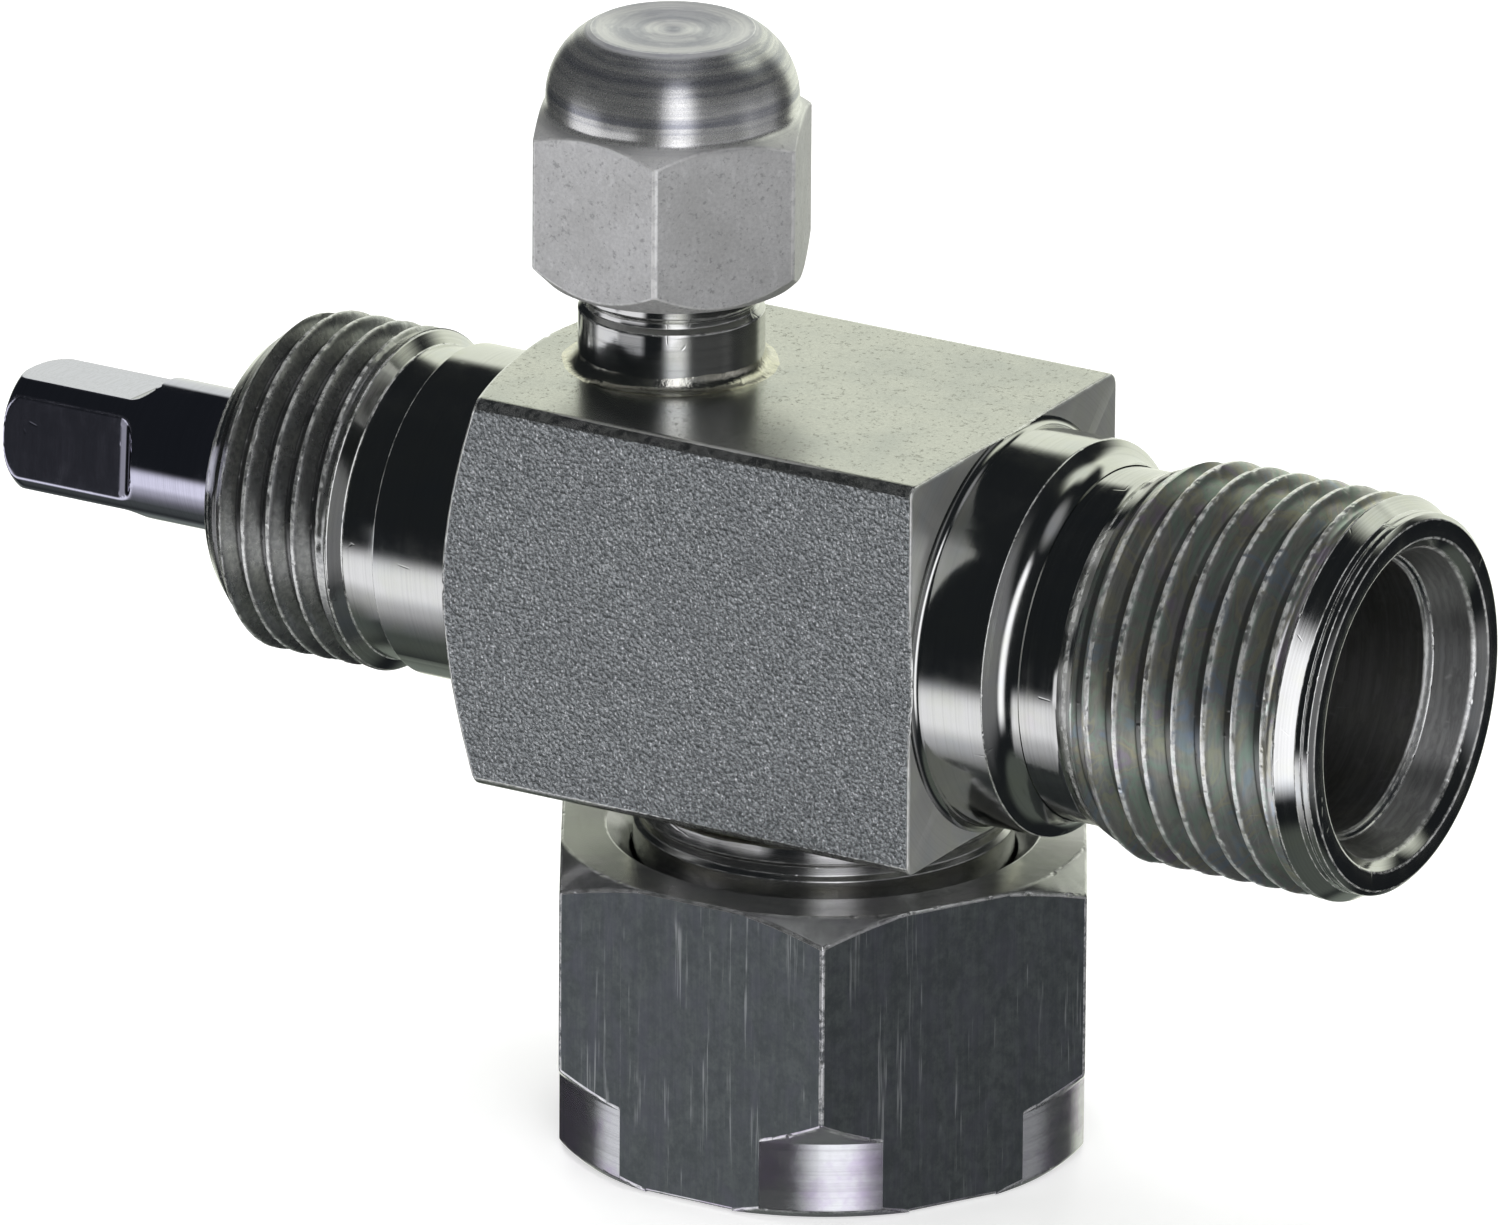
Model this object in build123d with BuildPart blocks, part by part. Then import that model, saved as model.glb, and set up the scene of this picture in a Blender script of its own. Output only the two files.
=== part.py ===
"""Compressor service valve with a swivel union nut, a side service port and a threaded outlet.

Millimetres. +Z is up and is the axis of the union nut; the origin is the centre of the nut's bottom face.
+X runs along the valve stem and the outlet, from the stem's square end to the threaded outlet.
At rest the stem is backed all the way out (+0 mm of travel), so the line through the valve is open.
"""
import math
import os

from build123d import *

os.makedirs("parts", exist_ok=True)

# ---------------------------------------------------------------- driving dimensions
INCH = 25.4

# block: 7/8 in square cold-drawn bar, turned at both ends
AXIS_HEIGHT = 31.1             # stem and outlet axis above the nut's bottom face
BAR_WIDTH = 0.875 * INCH
BAR_EDGE_RADIUS = 0.65
BLOCK_RIGHT = 11.7             # shoulder that faces the outlet
BLOCK_LEFT = -17.6             # where the turned left end meets the stem neck
BLOCK_LEFT_CORNER = -15.4      # where the turned cone reaches the bar's corners
CONE_OUTER_RADIUS = 16.0
FACE = Plane.XZ                # half profiles are drawn in X and Z

# stem neck on the left, with the thread for the seal cap: 3/4-16 UNF
STEM_NECK_RADIUS = 9.23
STEM_NECK_END = -23.4
STEM_RELIEF_RADIUS = 8.75
STEM_RELIEF_END = -25.4
STEM_RELIEF_EDGE = 0.7
STEM_NECK_EDGE = 0.3
CAP_THREAD_RADIUS = 0.375 * INCH
CAP_THREAD_PITCH = INCH / 16
CAP_THREAD_END = -32.7
NOSE_END = -35.1
NOSE_RADIUS = 7.4
NOSE_EDGE = 0.25

# outlet neck on the right, whose lip is rolled over the outlet connector
OUTLET_NECK_RADIUS = 10.94
SHOULDER_FILLET = 0.5
LIP_START = 16.0
LIP_END = 17.0
LIP_HOLLOW = 16.45
LIP_HOLLOW_RADIUS = 10.25
LIP_EDGE = 0.15
LIP_BORE_RADIUS = 9.8
SOCKET_RADIUS = 9.3
LIP_POCKET_RADIUS = 10.15
LIP_POCKET_START = 13.6
LIP_POCKET_END = 16.0

# passages in the block, along the stem axis
PACKING_BORE_RADIUS = 5.8
GLAND_BORE_RADIUS = 6.4
GLAND_BORE_END = -30.0
PACKING_FLOOR = -24.6
STEM_BORE_RADIUS = 4.82        # plain bore that stands in for the stem's female thread
STEM_BORE_END = -12.6
GALLERY_RADIUS = 5.8
GALLERY_END = -8.2
SEAT_BORE_RADIUS = 5.2
SEAT_EDGE_RADIUS = 6.0
BACK_SEAT = -7.3               # small end of the 45 degree back seat
FRONT_SEAT = 4.0               # small end of the 45 degree front seat
SEAT_LAND = 0.6                # thickness behind the front seat's edge
CHAMBER_RADIUS = 8.2
SOCKET_START = 7.5
GASKET_THICKNESS = 0.6

# outlet connector: 7/8-14 UNF
CONNECTOR_NECK_RADIUS = 9.75
CONNECTOR_TAPER_START = 19.9
CONNECTOR_TAPER_END = 22.9
OUTLET_THREAD_RADIUS = 0.4375 * INCH
OUTLET_THREAD_PITCH = INCH / 14
OUTLET_THREAD_END = 33.3
OUTLET_LEAD_START = 34.0       # lead-in cone ahead of the thread
OUTLET_LEAD_END = 34.95
OUTLET_PILOT_RADIUS = 10.45
OUTLET_END = 36.0
OUTLET_END_RADIUS = 10.15
MOUTH_RADIUS = 9.1
MOUTH_BEVEL = 0.6
ENTRY_CONE_END = 33.2
ENTRY_STEP_RADIUS = 7.85
OUTLET_BORE_RADIUS = 7.5
OUTLET_BORE_START = 10.0
NOSE_SEAT_RADIUS = 7.2         # outside of the seat nose inside the chamber
NOSE_SEAT_BORE = 6.0

# service port: 7/16-20 UNF flare fitting brazed into the top of the block
PORT_X = -9.8
PORT_STEM_RADIUS = 5.1
PORT_GROOVE_RADIUS = 4.8
PORT_THREAD_RADIUS = 0.21875 * INCH
PORT_THREAD_PITCH = INCH / 20
PORT_GROOVE = 45.85
PORT_THREAD_START = 48.5
PORT_THREAD_END = 55.1
PORT_FLARE_BASE = 55.7
PORT_TIP = 57.9
PORT_TIP_RADIUS = 2.9
PORT_HOLE_RADIUS = 1.6
PORT_SPIGOT_RADIUS = 4.0
PORT_SPIGOT_DEPTH = 3.0
BRAZE_LEG = 0.9

# flare cap: 9/16 in hexagon
CAP_FLATS = 0.5625 * INCH
CAP_HEX_TURN = -66.0           # direction of one corner, degrees from +X
CAP_BOTTOM = 47.3
CAP_DOME_RADIUS = 6.86
CAP_DOME_START = 56.85
CAP_TOP = 61.3
CAP_TOP_RADIUS = 4.45
CAP_DOME_BULGE = (6.24, 59.7)  # radius and height of a point on the dome
CAP_FOOT_RADIUS = 6.9          # small end of the 45 degree chamfer under the flats
CAP_SEAT_LIFT = 0.75           # cone of the cap above the flare
CAP_SEAL_LIFT = 0.08
CAP_SEAL_THICKNESS = 0.55
THREAD_PLAY = 0.06             # plain bores that stand in for female threads

# compressor connection: spud with a flange that holds a swivel nut, 1-14 UNS
BLOCK_BOTTOM = AXIS_HEIGHT - BAR_WIDTH / 2
BLOCK_TOP = AXIS_HEIGHT + BAR_WIDTH / 2
SPUD_RADIUS = 10.4
SPUD_FLANGE_RADIUS = 11.5
SPUD_FLANGE_BOTTOM = 9.4
SPUD_FLANGE_TOP = 12.6
SPUD_SPIGOT_RADIUS = 8.6
SPUD_SPIGOT_TOP = 21.5
SPUD_BORE_RADIUS = 6.5
SPUD_EDGE = 0.25               # chamfer of the flange and depth of the turned groove
SPUD_GROOVE = 18.3
SPUD_BRAZE_LEG = 0.45
SPUD_GASKET_THICKNESS = 0.8
SPUD_GASKET_BORE = 7.5
CHAMBER_PORT_RADIUS = 6.0      # hole from the spud into the chamber
NUT_FLATS = 1.125 * INCH
NUT_HEIGHT = 17.4
NUT_THREAD_RADIUS = 11.72      # minor radius of the internal thread
NUT_THREAD_TOP = 8.4
NUT_RELIEF_RADIUS = 12.6
NUT_SHOULDER = 12.7
NUT_NECK_RADIUS = 10.55
NUT_SINK_RADIUS = 11.9
NUT_CROWN_RADIUS = 14.6        # where the 30 degree top chamfer meets the flat crown
NUT_FOOT_RADIUS = 14.94        # turned foot that leaves a notch at each corner
NUT_FOOT_HEIGHT = 4.45
NUT_FOOT_EDGE = 0.4
NUT_THREAD_RUN_OUT = 0.5

# stem and what it carries
STEM_LEFT = -50.7
SQUARE_END = -43.1             # where the flats start to run out
SQUARE_RUN_OUT = 1.4
SQUARE_CUTTER_RADIUS = 2.2
SQUARE_FLATS = 0.25 * INCH
STEM_RADIUS = 0.15625 * INCH
STEM_END_RADIUS = 3.1
STEM_THREAD_RADIUS = 0.1875 * INCH
STEM_THREAD_PITCH = INCH / 24
STEM_THREAD_START = -24.5
STEM_THREAD_END = -13.0
STEM_WAIST_RADIUS = 3.3
STEM_COLLAR_RADIUS = 4.4
STEM_COLLAR_START = -8.0
DISC_LEFT = -7.0
DISC_RIGHT = -2.3
DISC_RADIUS = 6.7
DISC_FACE_RADIUS = 5.4
JOURNAL_RADIUS = 2.5
RING_GROOVE_RADIUS = 2.0
RING_GROOVE_START = -1.66
RING_THICKNESS = 0.6
RING_RADIUS = 3.9
RING_MOUTH = 2.2
WASHER_INNER_RADIUS = 2.6      # dished spring washer on the journal
WASHER_OUTER_RADIUS = 4.3
WASHER_RISE = 0.2
WASHER_SHEET = 0.3
STEM_RIGHT = -0.4
RUNNING_GAP = 0.05             # pieces that move against each other
FIXED_GAP = 0.03               # pieces screwed, rolled or brazed together

# packing and the gland that squeezes it
PACKING_WASHER_THICKNESS = 0.7
PACKING_RING_LENGTH = 1.2
GLAND_LEFT = -34.7
GLAND_EDGE = 0.3
GLAND_SLOT_WIDTH = 1.6
GLAND_SLOT_DEPTH = 1.3

GROOVE_SHARE = 0.6134          # thread depth as a share of the pitch


# ---------------------------------------------------------------- helpers
def stem_axis():
    return Axis((0, 0, AXIS_HEIGHT), (1, 0, 0))


def upright_axis(x=0.0):
    return Axis((x, 0, 0), (0, 0, 1))


def along_stem(points):
    """A closed half profile of (x, radius) points above the stem axis."""
    Polyline([(x, AXIS_HEIGHT + radius) for x, radius in points], close=True)


def upright(points, x=0.0):
    """A closed half profile of (radius, z) points beside an upright axis at x."""
    Polyline([(x + radius, z) for radius, z in points], close=True)


def groove_places(first, last, pitch):
    count = int((last - first) / pitch)
    return [first + pitch * (index + 0.5) for index in range(count)]


def groove_outline(crest_radius, pitch):
    """One thread groove as (offset along the axis, radius) points, open past the crest."""
    depth = GROOVE_SHARE * pitch
    mouth = 0.375 * pitch + 0.1 * math.tan(math.radians(30))
    root = mouth - (depth + 0.1) * math.tan(math.radians(30))
    return [
        (-mouth, crest_radius + 0.1),
        (-root, crest_radius - depth),
        (root, crest_radius - depth),
        (mouth, crest_radius + 0.1),
    ]


def cut_grooves_along_stem(first, last, pitch, crest_radius):
    """Cut a row of thread grooves around the stem axis from the part that is being built."""
    with BuildSketch(FACE) as grooves:
        for place in groove_places(first, last, pitch):
            with BuildLine():
                along_stem([(place + x, radius) for x, radius in groove_outline(crest_radius, pitch)])
            make_face()
    revolve(grooves.sketch, axis=stem_axis(), mode=Mode.SUBTRACT)


def write(part, name):
    part.label = name
    export_step(part, f"parts/{name}.step")


# ---------------------------------------------------------------- valve_body
with BuildPart() as valve_body:
    # the whole outside is turned, then limited to the square bar it is turned from
    with BuildSketch(FACE):
        with BuildLine():
            nose = Polyline(
                (NOSE_END, AXIS_HEIGHT),
                (NOSE_END, AXIS_HEIGHT + NOSE_RADIUS - NOSE_EDGE),
                (NOSE_END + NOSE_EDGE, AXIS_HEIGHT + NOSE_RADIUS),
                (CAP_THREAD_END, AXIS_HEIGHT + CAP_THREAD_RADIUS),
                (STEM_RELIEF_END - STEM_RELIEF_EDGE, AXIS_HEIGHT + CAP_THREAD_RADIUS),
                (STEM_RELIEF_END, AXIS_HEIGHT + STEM_RELIEF_RADIUS),
                (STEM_NECK_END, AXIS_HEIGHT + STEM_RELIEF_RADIUS),
                (STEM_NECK_END + STEM_NECK_EDGE, AXIS_HEIGHT + STEM_NECK_RADIUS),
                (BLOCK_LEFT, AXIS_HEIGHT + STEM_NECK_RADIUS),
                (BLOCK_LEFT, AXIS_HEIGHT + BAR_WIDTH / 2),
                (BLOCK_LEFT_CORNER, AXIS_HEIGHT + CONE_OUTER_RADIUS),
                (BLOCK_RIGHT, AXIS_HEIGHT + CONE_OUTER_RADIUS),
                (BLOCK_RIGHT, AXIS_HEIGHT + OUTLET_NECK_RADIUS + SHOULDER_FILLET),
            )
            shoulder = RadiusArc(
                nose @ 1,
                (BLOCK_RIGHT + SHOULDER_FILLET, AXIS_HEIGHT + OUTLET_NECK_RADIUS),
                SHOULDER_FILLET,
            )
            neck = Line(shoulder @ 1, (LIP_START, AXIS_HEIGHT + OUTLET_NECK_RADIUS))
            lip = ThreePointArc(
                neck @ 1,
                (LIP_HOLLOW, AXIS_HEIGHT + LIP_HOLLOW_RADIUS),
                (LIP_END, AXIS_HEIGHT + LIP_BORE_RADIUS + LIP_EDGE),
            )
            Polyline(
                lip @ 1,
                (LIP_END, AXIS_HEIGHT),
                (NOSE_END, AXIS_HEIGHT),
            )
        make_face()
    revolve(axis=stem_axis())
    with BuildSketch(Plane.YZ.offset(NOSE_END - 1)):
        with Locations((0, AXIS_HEIGHT)):
            RectangleRounded(BAR_WIDTH, BAR_WIDTH, BAR_EDGE_RADIUS)
    extrude(amount=LIP_END - NOSE_END + 2, mode=Mode.INTERSECT)

    # the bore, from the gland's mouth on the left to the rolled lip on the right
    with BuildSketch(FACE):
        with BuildLine():
            along_stem([
                (NOSE_END - 1, 0),
                (NOSE_END - 1, GLAND_BORE_RADIUS),
                (GLAND_BORE_END, GLAND_BORE_RADIUS),
                (GLAND_BORE_END, PACKING_BORE_RADIUS),
                (PACKING_FLOOR, PACKING_BORE_RADIUS),
                (PACKING_FLOOR, STEM_BORE_RADIUS),
                (STEM_BORE_END, STEM_BORE_RADIUS),
                (STEM_BORE_END, GALLERY_RADIUS),
                (GALLERY_END, GALLERY_RADIUS),
                (GALLERY_END, SEAT_BORE_RADIUS),
                (BACK_SEAT, SEAT_BORE_RADIUS),
                (BACK_SEAT + SEAT_EDGE_RADIUS - SEAT_BORE_RADIUS, SEAT_EDGE_RADIUS),
                (BACK_SEAT + SEAT_EDGE_RADIUS - SEAT_BORE_RADIUS, CHAMBER_RADIUS),
                (SOCKET_START, CHAMBER_RADIUS),
                (SOCKET_START, SOCKET_RADIUS),
                (LIP_POCKET_START, SOCKET_RADIUS),
                (LIP_POCKET_START, LIP_POCKET_RADIUS),
                (LIP_POCKET_END, LIP_POCKET_RADIUS),
                (LIP_POCKET_END + LIP_POCKET_RADIUS - LIP_BORE_RADIUS, LIP_BORE_RADIUS),
                (LIP_END + 1, LIP_BORE_RADIUS),
                (LIP_END + 1, 0),
            ])
        make_face()
    revolve(axis=stem_axis(), mode=Mode.SUBTRACT)
    cut_grooves_along_stem(CAP_THREAD_END, STEM_RELIEF_END - 0.5, CAP_THREAD_PITCH, CAP_THREAD_RADIUS)

    # compressor port with the spud's counterbore, and the service port above the gallery
    with BuildSketch(Plane.XY.offset(BLOCK_BOTTOM - 1)):
        Circle(CHAMBER_PORT_RADIUS)
    extrude(amount=AXIS_HEIGHT - BLOCK_BOTTOM + 1, mode=Mode.SUBTRACT)
    with BuildSketch(Plane.XY.offset(BLOCK_BOTTOM - 1)):
        Circle(SPUD_SPIGOT_RADIUS + FIXED_GAP)
    extrude(amount=SPUD_SPIGOT_TOP - BLOCK_BOTTOM + 1, mode=Mode.SUBTRACT)
    with BuildSketch(Plane.XY.offset(AXIS_HEIGHT)):
        with Locations((PORT_X, 0)):
            Circle(PORT_HOLE_RADIUS)
    extrude(amount=BAR_WIDTH, mode=Mode.SUBTRACT)
    with BuildSketch(Plane.XY.offset(BLOCK_TOP - PORT_SPIGOT_DEPTH)):
        with Locations((PORT_X, 0)):
            Circle(PORT_SPIGOT_RADIUS + FIXED_GAP)
    extrude(amount=PORT_SPIGOT_DEPTH + 1, mode=Mode.SUBTRACT)
write(valve_body.part, "valve_body")

# ---------------------------------------------------------------- outlet_connector
with BuildPart() as outlet_connector:
    with BuildSketch(FACE):
        with BuildLine():
            seat_face = FRONT_SEAT - (SEAT_EDGE_RADIUS - SEAT_BORE_RADIUS)
            gasket_face = SOCKET_START + GASKET_THICKNESS
            along_stem([
                (seat_face, SEAT_EDGE_RADIUS),
                (seat_face, NOSE_SEAT_RADIUS),
                (gasket_face, NOSE_SEAT_RADIUS),
                (gasket_face, SOCKET_RADIUS - FIXED_GAP),
                (LIP_POCKET_START, SOCKET_RADIUS - FIXED_GAP),
                (LIP_POCKET_START, LIP_POCKET_RADIUS - FIXED_GAP),
                (LIP_POCKET_END - FIXED_GAP, LIP_POCKET_RADIUS - FIXED_GAP),
                (LIP_POCKET_END + LIP_POCKET_RADIUS - CONNECTOR_NECK_RADIUS, CONNECTOR_NECK_RADIUS),
                (CONNECTOR_TAPER_START, CONNECTOR_NECK_RADIUS),
                (CONNECTOR_TAPER_END, OUTLET_THREAD_RADIUS),
                (OUTLET_LEAD_START, OUTLET_THREAD_RADIUS),
                (OUTLET_LEAD_END, OUTLET_PILOT_RADIUS),
                (OUTLET_END - OUTLET_PILOT_RADIUS + OUTLET_END_RADIUS, OUTLET_PILOT_RADIUS),
                (OUTLET_END, OUTLET_END_RADIUS),
                (OUTLET_END, MOUTH_RADIUS),
                (OUTLET_END - MOUTH_BEVEL, MOUTH_RADIUS - MOUTH_BEVEL),
                (ENTRY_CONE_END, ENTRY_STEP_RADIUS),
                (ENTRY_CONE_END, OUTLET_BORE_RADIUS),
                (OUTLET_BORE_START, OUTLET_BORE_RADIUS),
                (OUTLET_BORE_START - OUTLET_BORE_RADIUS + NOSE_SEAT_BORE, NOSE_SEAT_BORE),
                (FRONT_SEAT + SEAT_LAND, NOSE_SEAT_BORE),
                (FRONT_SEAT + SEAT_LAND, SEAT_BORE_RADIUS),
                (FRONT_SEAT, SEAT_BORE_RADIUS),
            ])
        make_face()
    revolve(axis=stem_axis())
    cut_grooves_along_stem(
        CONNECTOR_TAPER_START + 0.4, OUTLET_THREAD_END, OUTLET_THREAD_PITCH, OUTLET_THREAD_RADIUS
    )
write(outlet_connector.part, "outlet_connector")

# ---------------------------------------------------------------- connector_gasket
with BuildPart() as connector_gasket:
    with BuildSketch(FACE):
        with BuildLine():
            along_stem([
                (SOCKET_START, NOSE_SEAT_RADIUS + 0.1),
                (SOCKET_START, SOCKET_RADIUS - RUNNING_GAP),
                (SOCKET_START + GASKET_THICKNESS, SOCKET_RADIUS - RUNNING_GAP),
                (SOCKET_START + GASKET_THICKNESS, NOSE_SEAT_RADIUS + 0.1),
            ])
        make_face()
    revolve(axis=stem_axis())
write(connector_gasket.part, "connector_gasket")

# ---------------------------------------------------------------- compressor_spud
with BuildPart() as compressor_spud:
    with BuildSketch(FACE):
        with BuildLine():
            upright([
                (SPUD_BORE_RADIUS, SPUD_FLANGE_BOTTOM),
                (SPUD_FLANGE_RADIUS - SPUD_EDGE, SPUD_FLANGE_BOTTOM),
                (SPUD_FLANGE_RADIUS, SPUD_FLANGE_BOTTOM + SPUD_EDGE),
                (SPUD_FLANGE_RADIUS, SPUD_FLANGE_TOP),
                (SPUD_RADIUS, SPUD_FLANGE_TOP),
                (SPUD_RADIUS, SPUD_GROOVE - 2 * SPUD_EDGE),
                (SPUD_RADIUS - SPUD_EDGE, SPUD_GROOVE - SPUD_EDGE),
                (SPUD_RADIUS - SPUD_EDGE, SPUD_GROOVE + SPUD_EDGE),
                (SPUD_RADIUS, SPUD_GROOVE + 2 * SPUD_EDGE),
                (SPUD_RADIUS, BLOCK_BOTTOM),
                (SPUD_SPIGOT_RADIUS, BLOCK_BOTTOM),
                (SPUD_SPIGOT_RADIUS, SPUD_SPIGOT_TOP),
                (SPUD_BORE_RADIUS, SPUD_SPIGOT_TOP),
            ])
        make_face()
    revolve(axis=upright_axis())
write(compressor_spud.part, "compressor_spud")

# ---------------------------------------------------------------- spud_braze_ring
with BuildPart() as spud_braze_ring:
    with BuildSketch(FACE):
        with BuildLine():
            upright([
                (SPUD_RADIUS, BLOCK_BOTTOM),
                (SPUD_RADIUS, BLOCK_BOTTOM - SPUD_BRAZE_LEG),
                (SPUD_RADIUS + SPUD_BRAZE_LEG, BLOCK_BOTTOM),
            ])
        make_face()
    revolve(axis=upright_axis())
write(spud_braze_ring.part, "spud_braze_ring")

# ---------------------------------------------------------------- spud_gasket
with BuildPart() as spud_gasket:
    with BuildSketch(FACE):
        with BuildLine():
            upright([
                (SPUD_GASKET_BORE, SPUD_FLANGE_BOTTOM - SPUD_GASKET_THICKNESS),
                (SPUD_FLANGE_RADIUS - 0.1, SPUD_FLANGE_BOTTOM - SPUD_GASKET_THICKNESS),
                (SPUD_FLANGE_RADIUS - 0.1, SPUD_FLANGE_BOTTOM),
                (SPUD_GASKET_BORE, SPUD_FLANGE_BOTTOM),
            ])
        make_face()
    revolve(axis=upright_axis())
write(spud_gasket.part, "spud_gasket")

# ---------------------------------------------------------------- union_nut
CORNER_RADIUS = NUT_FLATS / math.sqrt(3)
with BuildPart() as union_nut:
    with BuildSketch(Plane.XY):
        RegularPolygon(CORNER_RADIUS, 6)
    extrude(amount=NUT_HEIGHT)
    # turned outside: 30 degree crown, notched foot
    crown_drop = (CORNER_RADIUS + 0.5 - NUT_CROWN_RADIUS) * math.tan(math.radians(30))
    with BuildSketch(FACE):
        with BuildLine():
            upright([
                (0, 0),
                (NUT_FOOT_RADIUS - NUT_FOOT_EDGE, 0),
                (NUT_FOOT_RADIUS, NUT_FOOT_EDGE),
                (NUT_FOOT_RADIUS, NUT_FOOT_HEIGHT),
                (CORNER_RADIUS + 0.5, NUT_FOOT_HEIGHT + CORNER_RADIUS + 0.5 - NUT_FOOT_RADIUS),
                (CORNER_RADIUS + 0.5, NUT_HEIGHT - crown_drop),
                (NUT_CROWN_RADIUS, NUT_HEIGHT),
                (0, NUT_HEIGHT),
            ])
        make_face()
    revolve(axis=upright_axis(), mode=Mode.INTERSECT)
    with BuildSketch(FACE):
        with BuildLine():
            upright([
                (0, -1),
                (NUT_THREAD_RADIUS, -1),
                (NUT_THREAD_RADIUS, NUT_THREAD_TOP),
                (NUT_RELIEF_RADIUS, NUT_THREAD_TOP + NUT_THREAD_RUN_OUT),
                (NUT_RELIEF_RADIUS, NUT_SHOULDER),
                (NUT_NECK_RADIUS, NUT_SHOULDER),
                (NUT_NECK_RADIUS, NUT_HEIGHT - (NUT_SINK_RADIUS - NUT_NECK_RADIUS)),
                (NUT_SINK_RADIUS, NUT_HEIGHT),
                (NUT_SINK_RADIUS, NUT_HEIGHT + 1),
                (0, NUT_HEIGHT + 1),
            ])
        make_face()
    revolve(axis=upright_axis(), mode=Mode.SUBTRACT)
write(union_nut.part, "union_nut")

# ---------------------------------------------------------------- service_port_fitting
with BuildPart() as service_port_fitting:
    with BuildSketch(FACE):
        with BuildLine():
            upright([
                (PORT_HOLE_RADIUS, BLOCK_TOP - PORT_SPIGOT_DEPTH),
                (PORT_SPIGOT_RADIUS, BLOCK_TOP - PORT_SPIGOT_DEPTH),
                (PORT_SPIGOT_RADIUS, BLOCK_TOP),
                (PORT_STEM_RADIUS, BLOCK_TOP),
                (PORT_STEM_RADIUS, PORT_GROOVE - 0.45),
                (PORT_GROOVE_RADIUS, PORT_GROOVE - 0.15),
                (PORT_GROOVE_RADIUS, PORT_GROOVE + 0.15),
                (PORT_STEM_RADIUS, PORT_GROOVE + 0.45),
                (PORT_STEM_RADIUS, PORT_THREAD_START - PORT_THREAD_RADIUS + PORT_STEM_RADIUS),
                (PORT_THREAD_RADIUS, PORT_THREAD_START),
                (PORT_THREAD_RADIUS, PORT_THREAD_END),
                (PORT_TIP_RADIUS + PORT_TIP - PORT_FLARE_BASE, PORT_FLARE_BASE),
                (PORT_TIP_RADIUS, PORT_TIP),
                (PORT_HOLE_RADIUS, PORT_TIP),
            ], PORT_X)
        make_face()
    revolve(axis=upright_axis(PORT_X))
    with BuildSketch(FACE):
        for place in groove_places(PORT_THREAD_START, PORT_THREAD_END, PORT_THREAD_PITCH):
            outline = groove_outline(PORT_THREAD_RADIUS, PORT_THREAD_PITCH)
            with BuildLine():
                upright([(radius, place + z) for z, radius in outline], PORT_X)
            make_face()
    revolve(axis=upright_axis(PORT_X), mode=Mode.SUBTRACT)
write(service_port_fitting.part, "service_port_fitting")

# ---------------------------------------------------------------- port_braze_ring
with BuildPart() as port_braze_ring:
    with BuildSketch(FACE):
        with BuildLine():
            foot = Polyline(
                (PORT_X + PORT_STEM_RADIUS, BLOCK_TOP + BRAZE_LEG),
                (PORT_X + PORT_STEM_RADIUS, BLOCK_TOP),
                (PORT_X + PORT_STEM_RADIUS + BRAZE_LEG, BLOCK_TOP),
            )
            RadiusArc(foot @ 0, foot @ 1, -1.2 * BRAZE_LEG)
        make_face()
    revolve(axis=upright_axis(PORT_X))
write(port_braze_ring.part, "port_braze_ring")

# ---------------------------------------------------------------- port_cap
CAP_CORNER_RADIUS = CAP_FLATS / math.sqrt(3)
with BuildPart() as port_cap:
    with BuildSketch(Plane.XY.offset(CAP_BOTTOM)):
        with Locations((PORT_X, 0)):
            RegularPolygon(CAP_CORNER_RADIUS, 6, rotation=CAP_HEX_TURN)
    extrude(amount=CAP_TOP - CAP_BOTTOM)
    # turned outside: chamfered foot, sloped shoulder over the flats, domed top
    shoulder_rise = (CAP_CORNER_RADIUS + 0.5 - CAP_DOME_RADIUS) * math.tan(math.radians(35))
    with BuildSketch(FACE):
        with BuildLine():
            side = Polyline(
                (PORT_X, CAP_BOTTOM),
                (PORT_X + CAP_FOOT_RADIUS, CAP_BOTTOM),
                (PORT_X + CAP_CORNER_RADIUS + 0.5, CAP_BOTTOM + CAP_CORNER_RADIUS + 0.5 - CAP_FOOT_RADIUS),
                (PORT_X + CAP_CORNER_RADIUS + 0.5, CAP_DOME_START - shoulder_rise),
                (PORT_X + CAP_DOME_RADIUS, CAP_DOME_START),
            )
            dome = ThreePointArc(
                side @ 1,
                (PORT_X + CAP_DOME_BULGE[0], CAP_DOME_BULGE[1]),
                (PORT_X + CAP_TOP_RADIUS, CAP_TOP),
            )
            Polyline(dome @ 1, (PORT_X, CAP_TOP), (PORT_X, CAP_BOTTOM))
        make_face()
    revolve(axis=upright_axis(PORT_X), mode=Mode.INTERSECT)
    # inside: clearance bore over the flare thread and a 45 degree seat
    bore_radius = PORT_THREAD_RADIUS + THREAD_PLAY
    seat_tip = PORT_TIP + CAP_SEAT_LIFT
    with BuildSketch(FACE):
        with BuildLine():
            upright([
                (0, CAP_BOTTOM - 1),
                (bore_radius, CAP_BOTTOM - 1),
                (bore_radius, seat_tip + PORT_TIP_RADIUS - bore_radius),
                (PORT_TIP_RADIUS - 0.8, seat_tip + 0.8),
                (0, seat_tip + 0.8),
            ], PORT_X)
        make_face()
    revolve(axis=upright_axis(PORT_X), mode=Mode.SUBTRACT)
write(port_cap.part, "port_cap")

# ---------------------------------------------------------------- port_cap_seal
with BuildPart() as port_cap_seal:
    with BuildSketch(FACE):
        with BuildLine():
            tip = PORT_TIP + CAP_SEAL_LIFT
            upright([
                (PORT_TIP_RADIUS - 0.6, tip + 0.6),
                (PORT_TIP_RADIUS + 1.9, tip - 1.9),
                (PORT_TIP_RADIUS + 1.9, tip - 1.9 + CAP_SEAL_THICKNESS),
                (PORT_TIP_RADIUS - 0.6, tip + 0.6 + CAP_SEAL_THICKNESS),
            ], PORT_X)
        make_face()
    revolve(axis=upright_axis(PORT_X))
write(port_cap_seal.part, "port_cap_seal")

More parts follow.
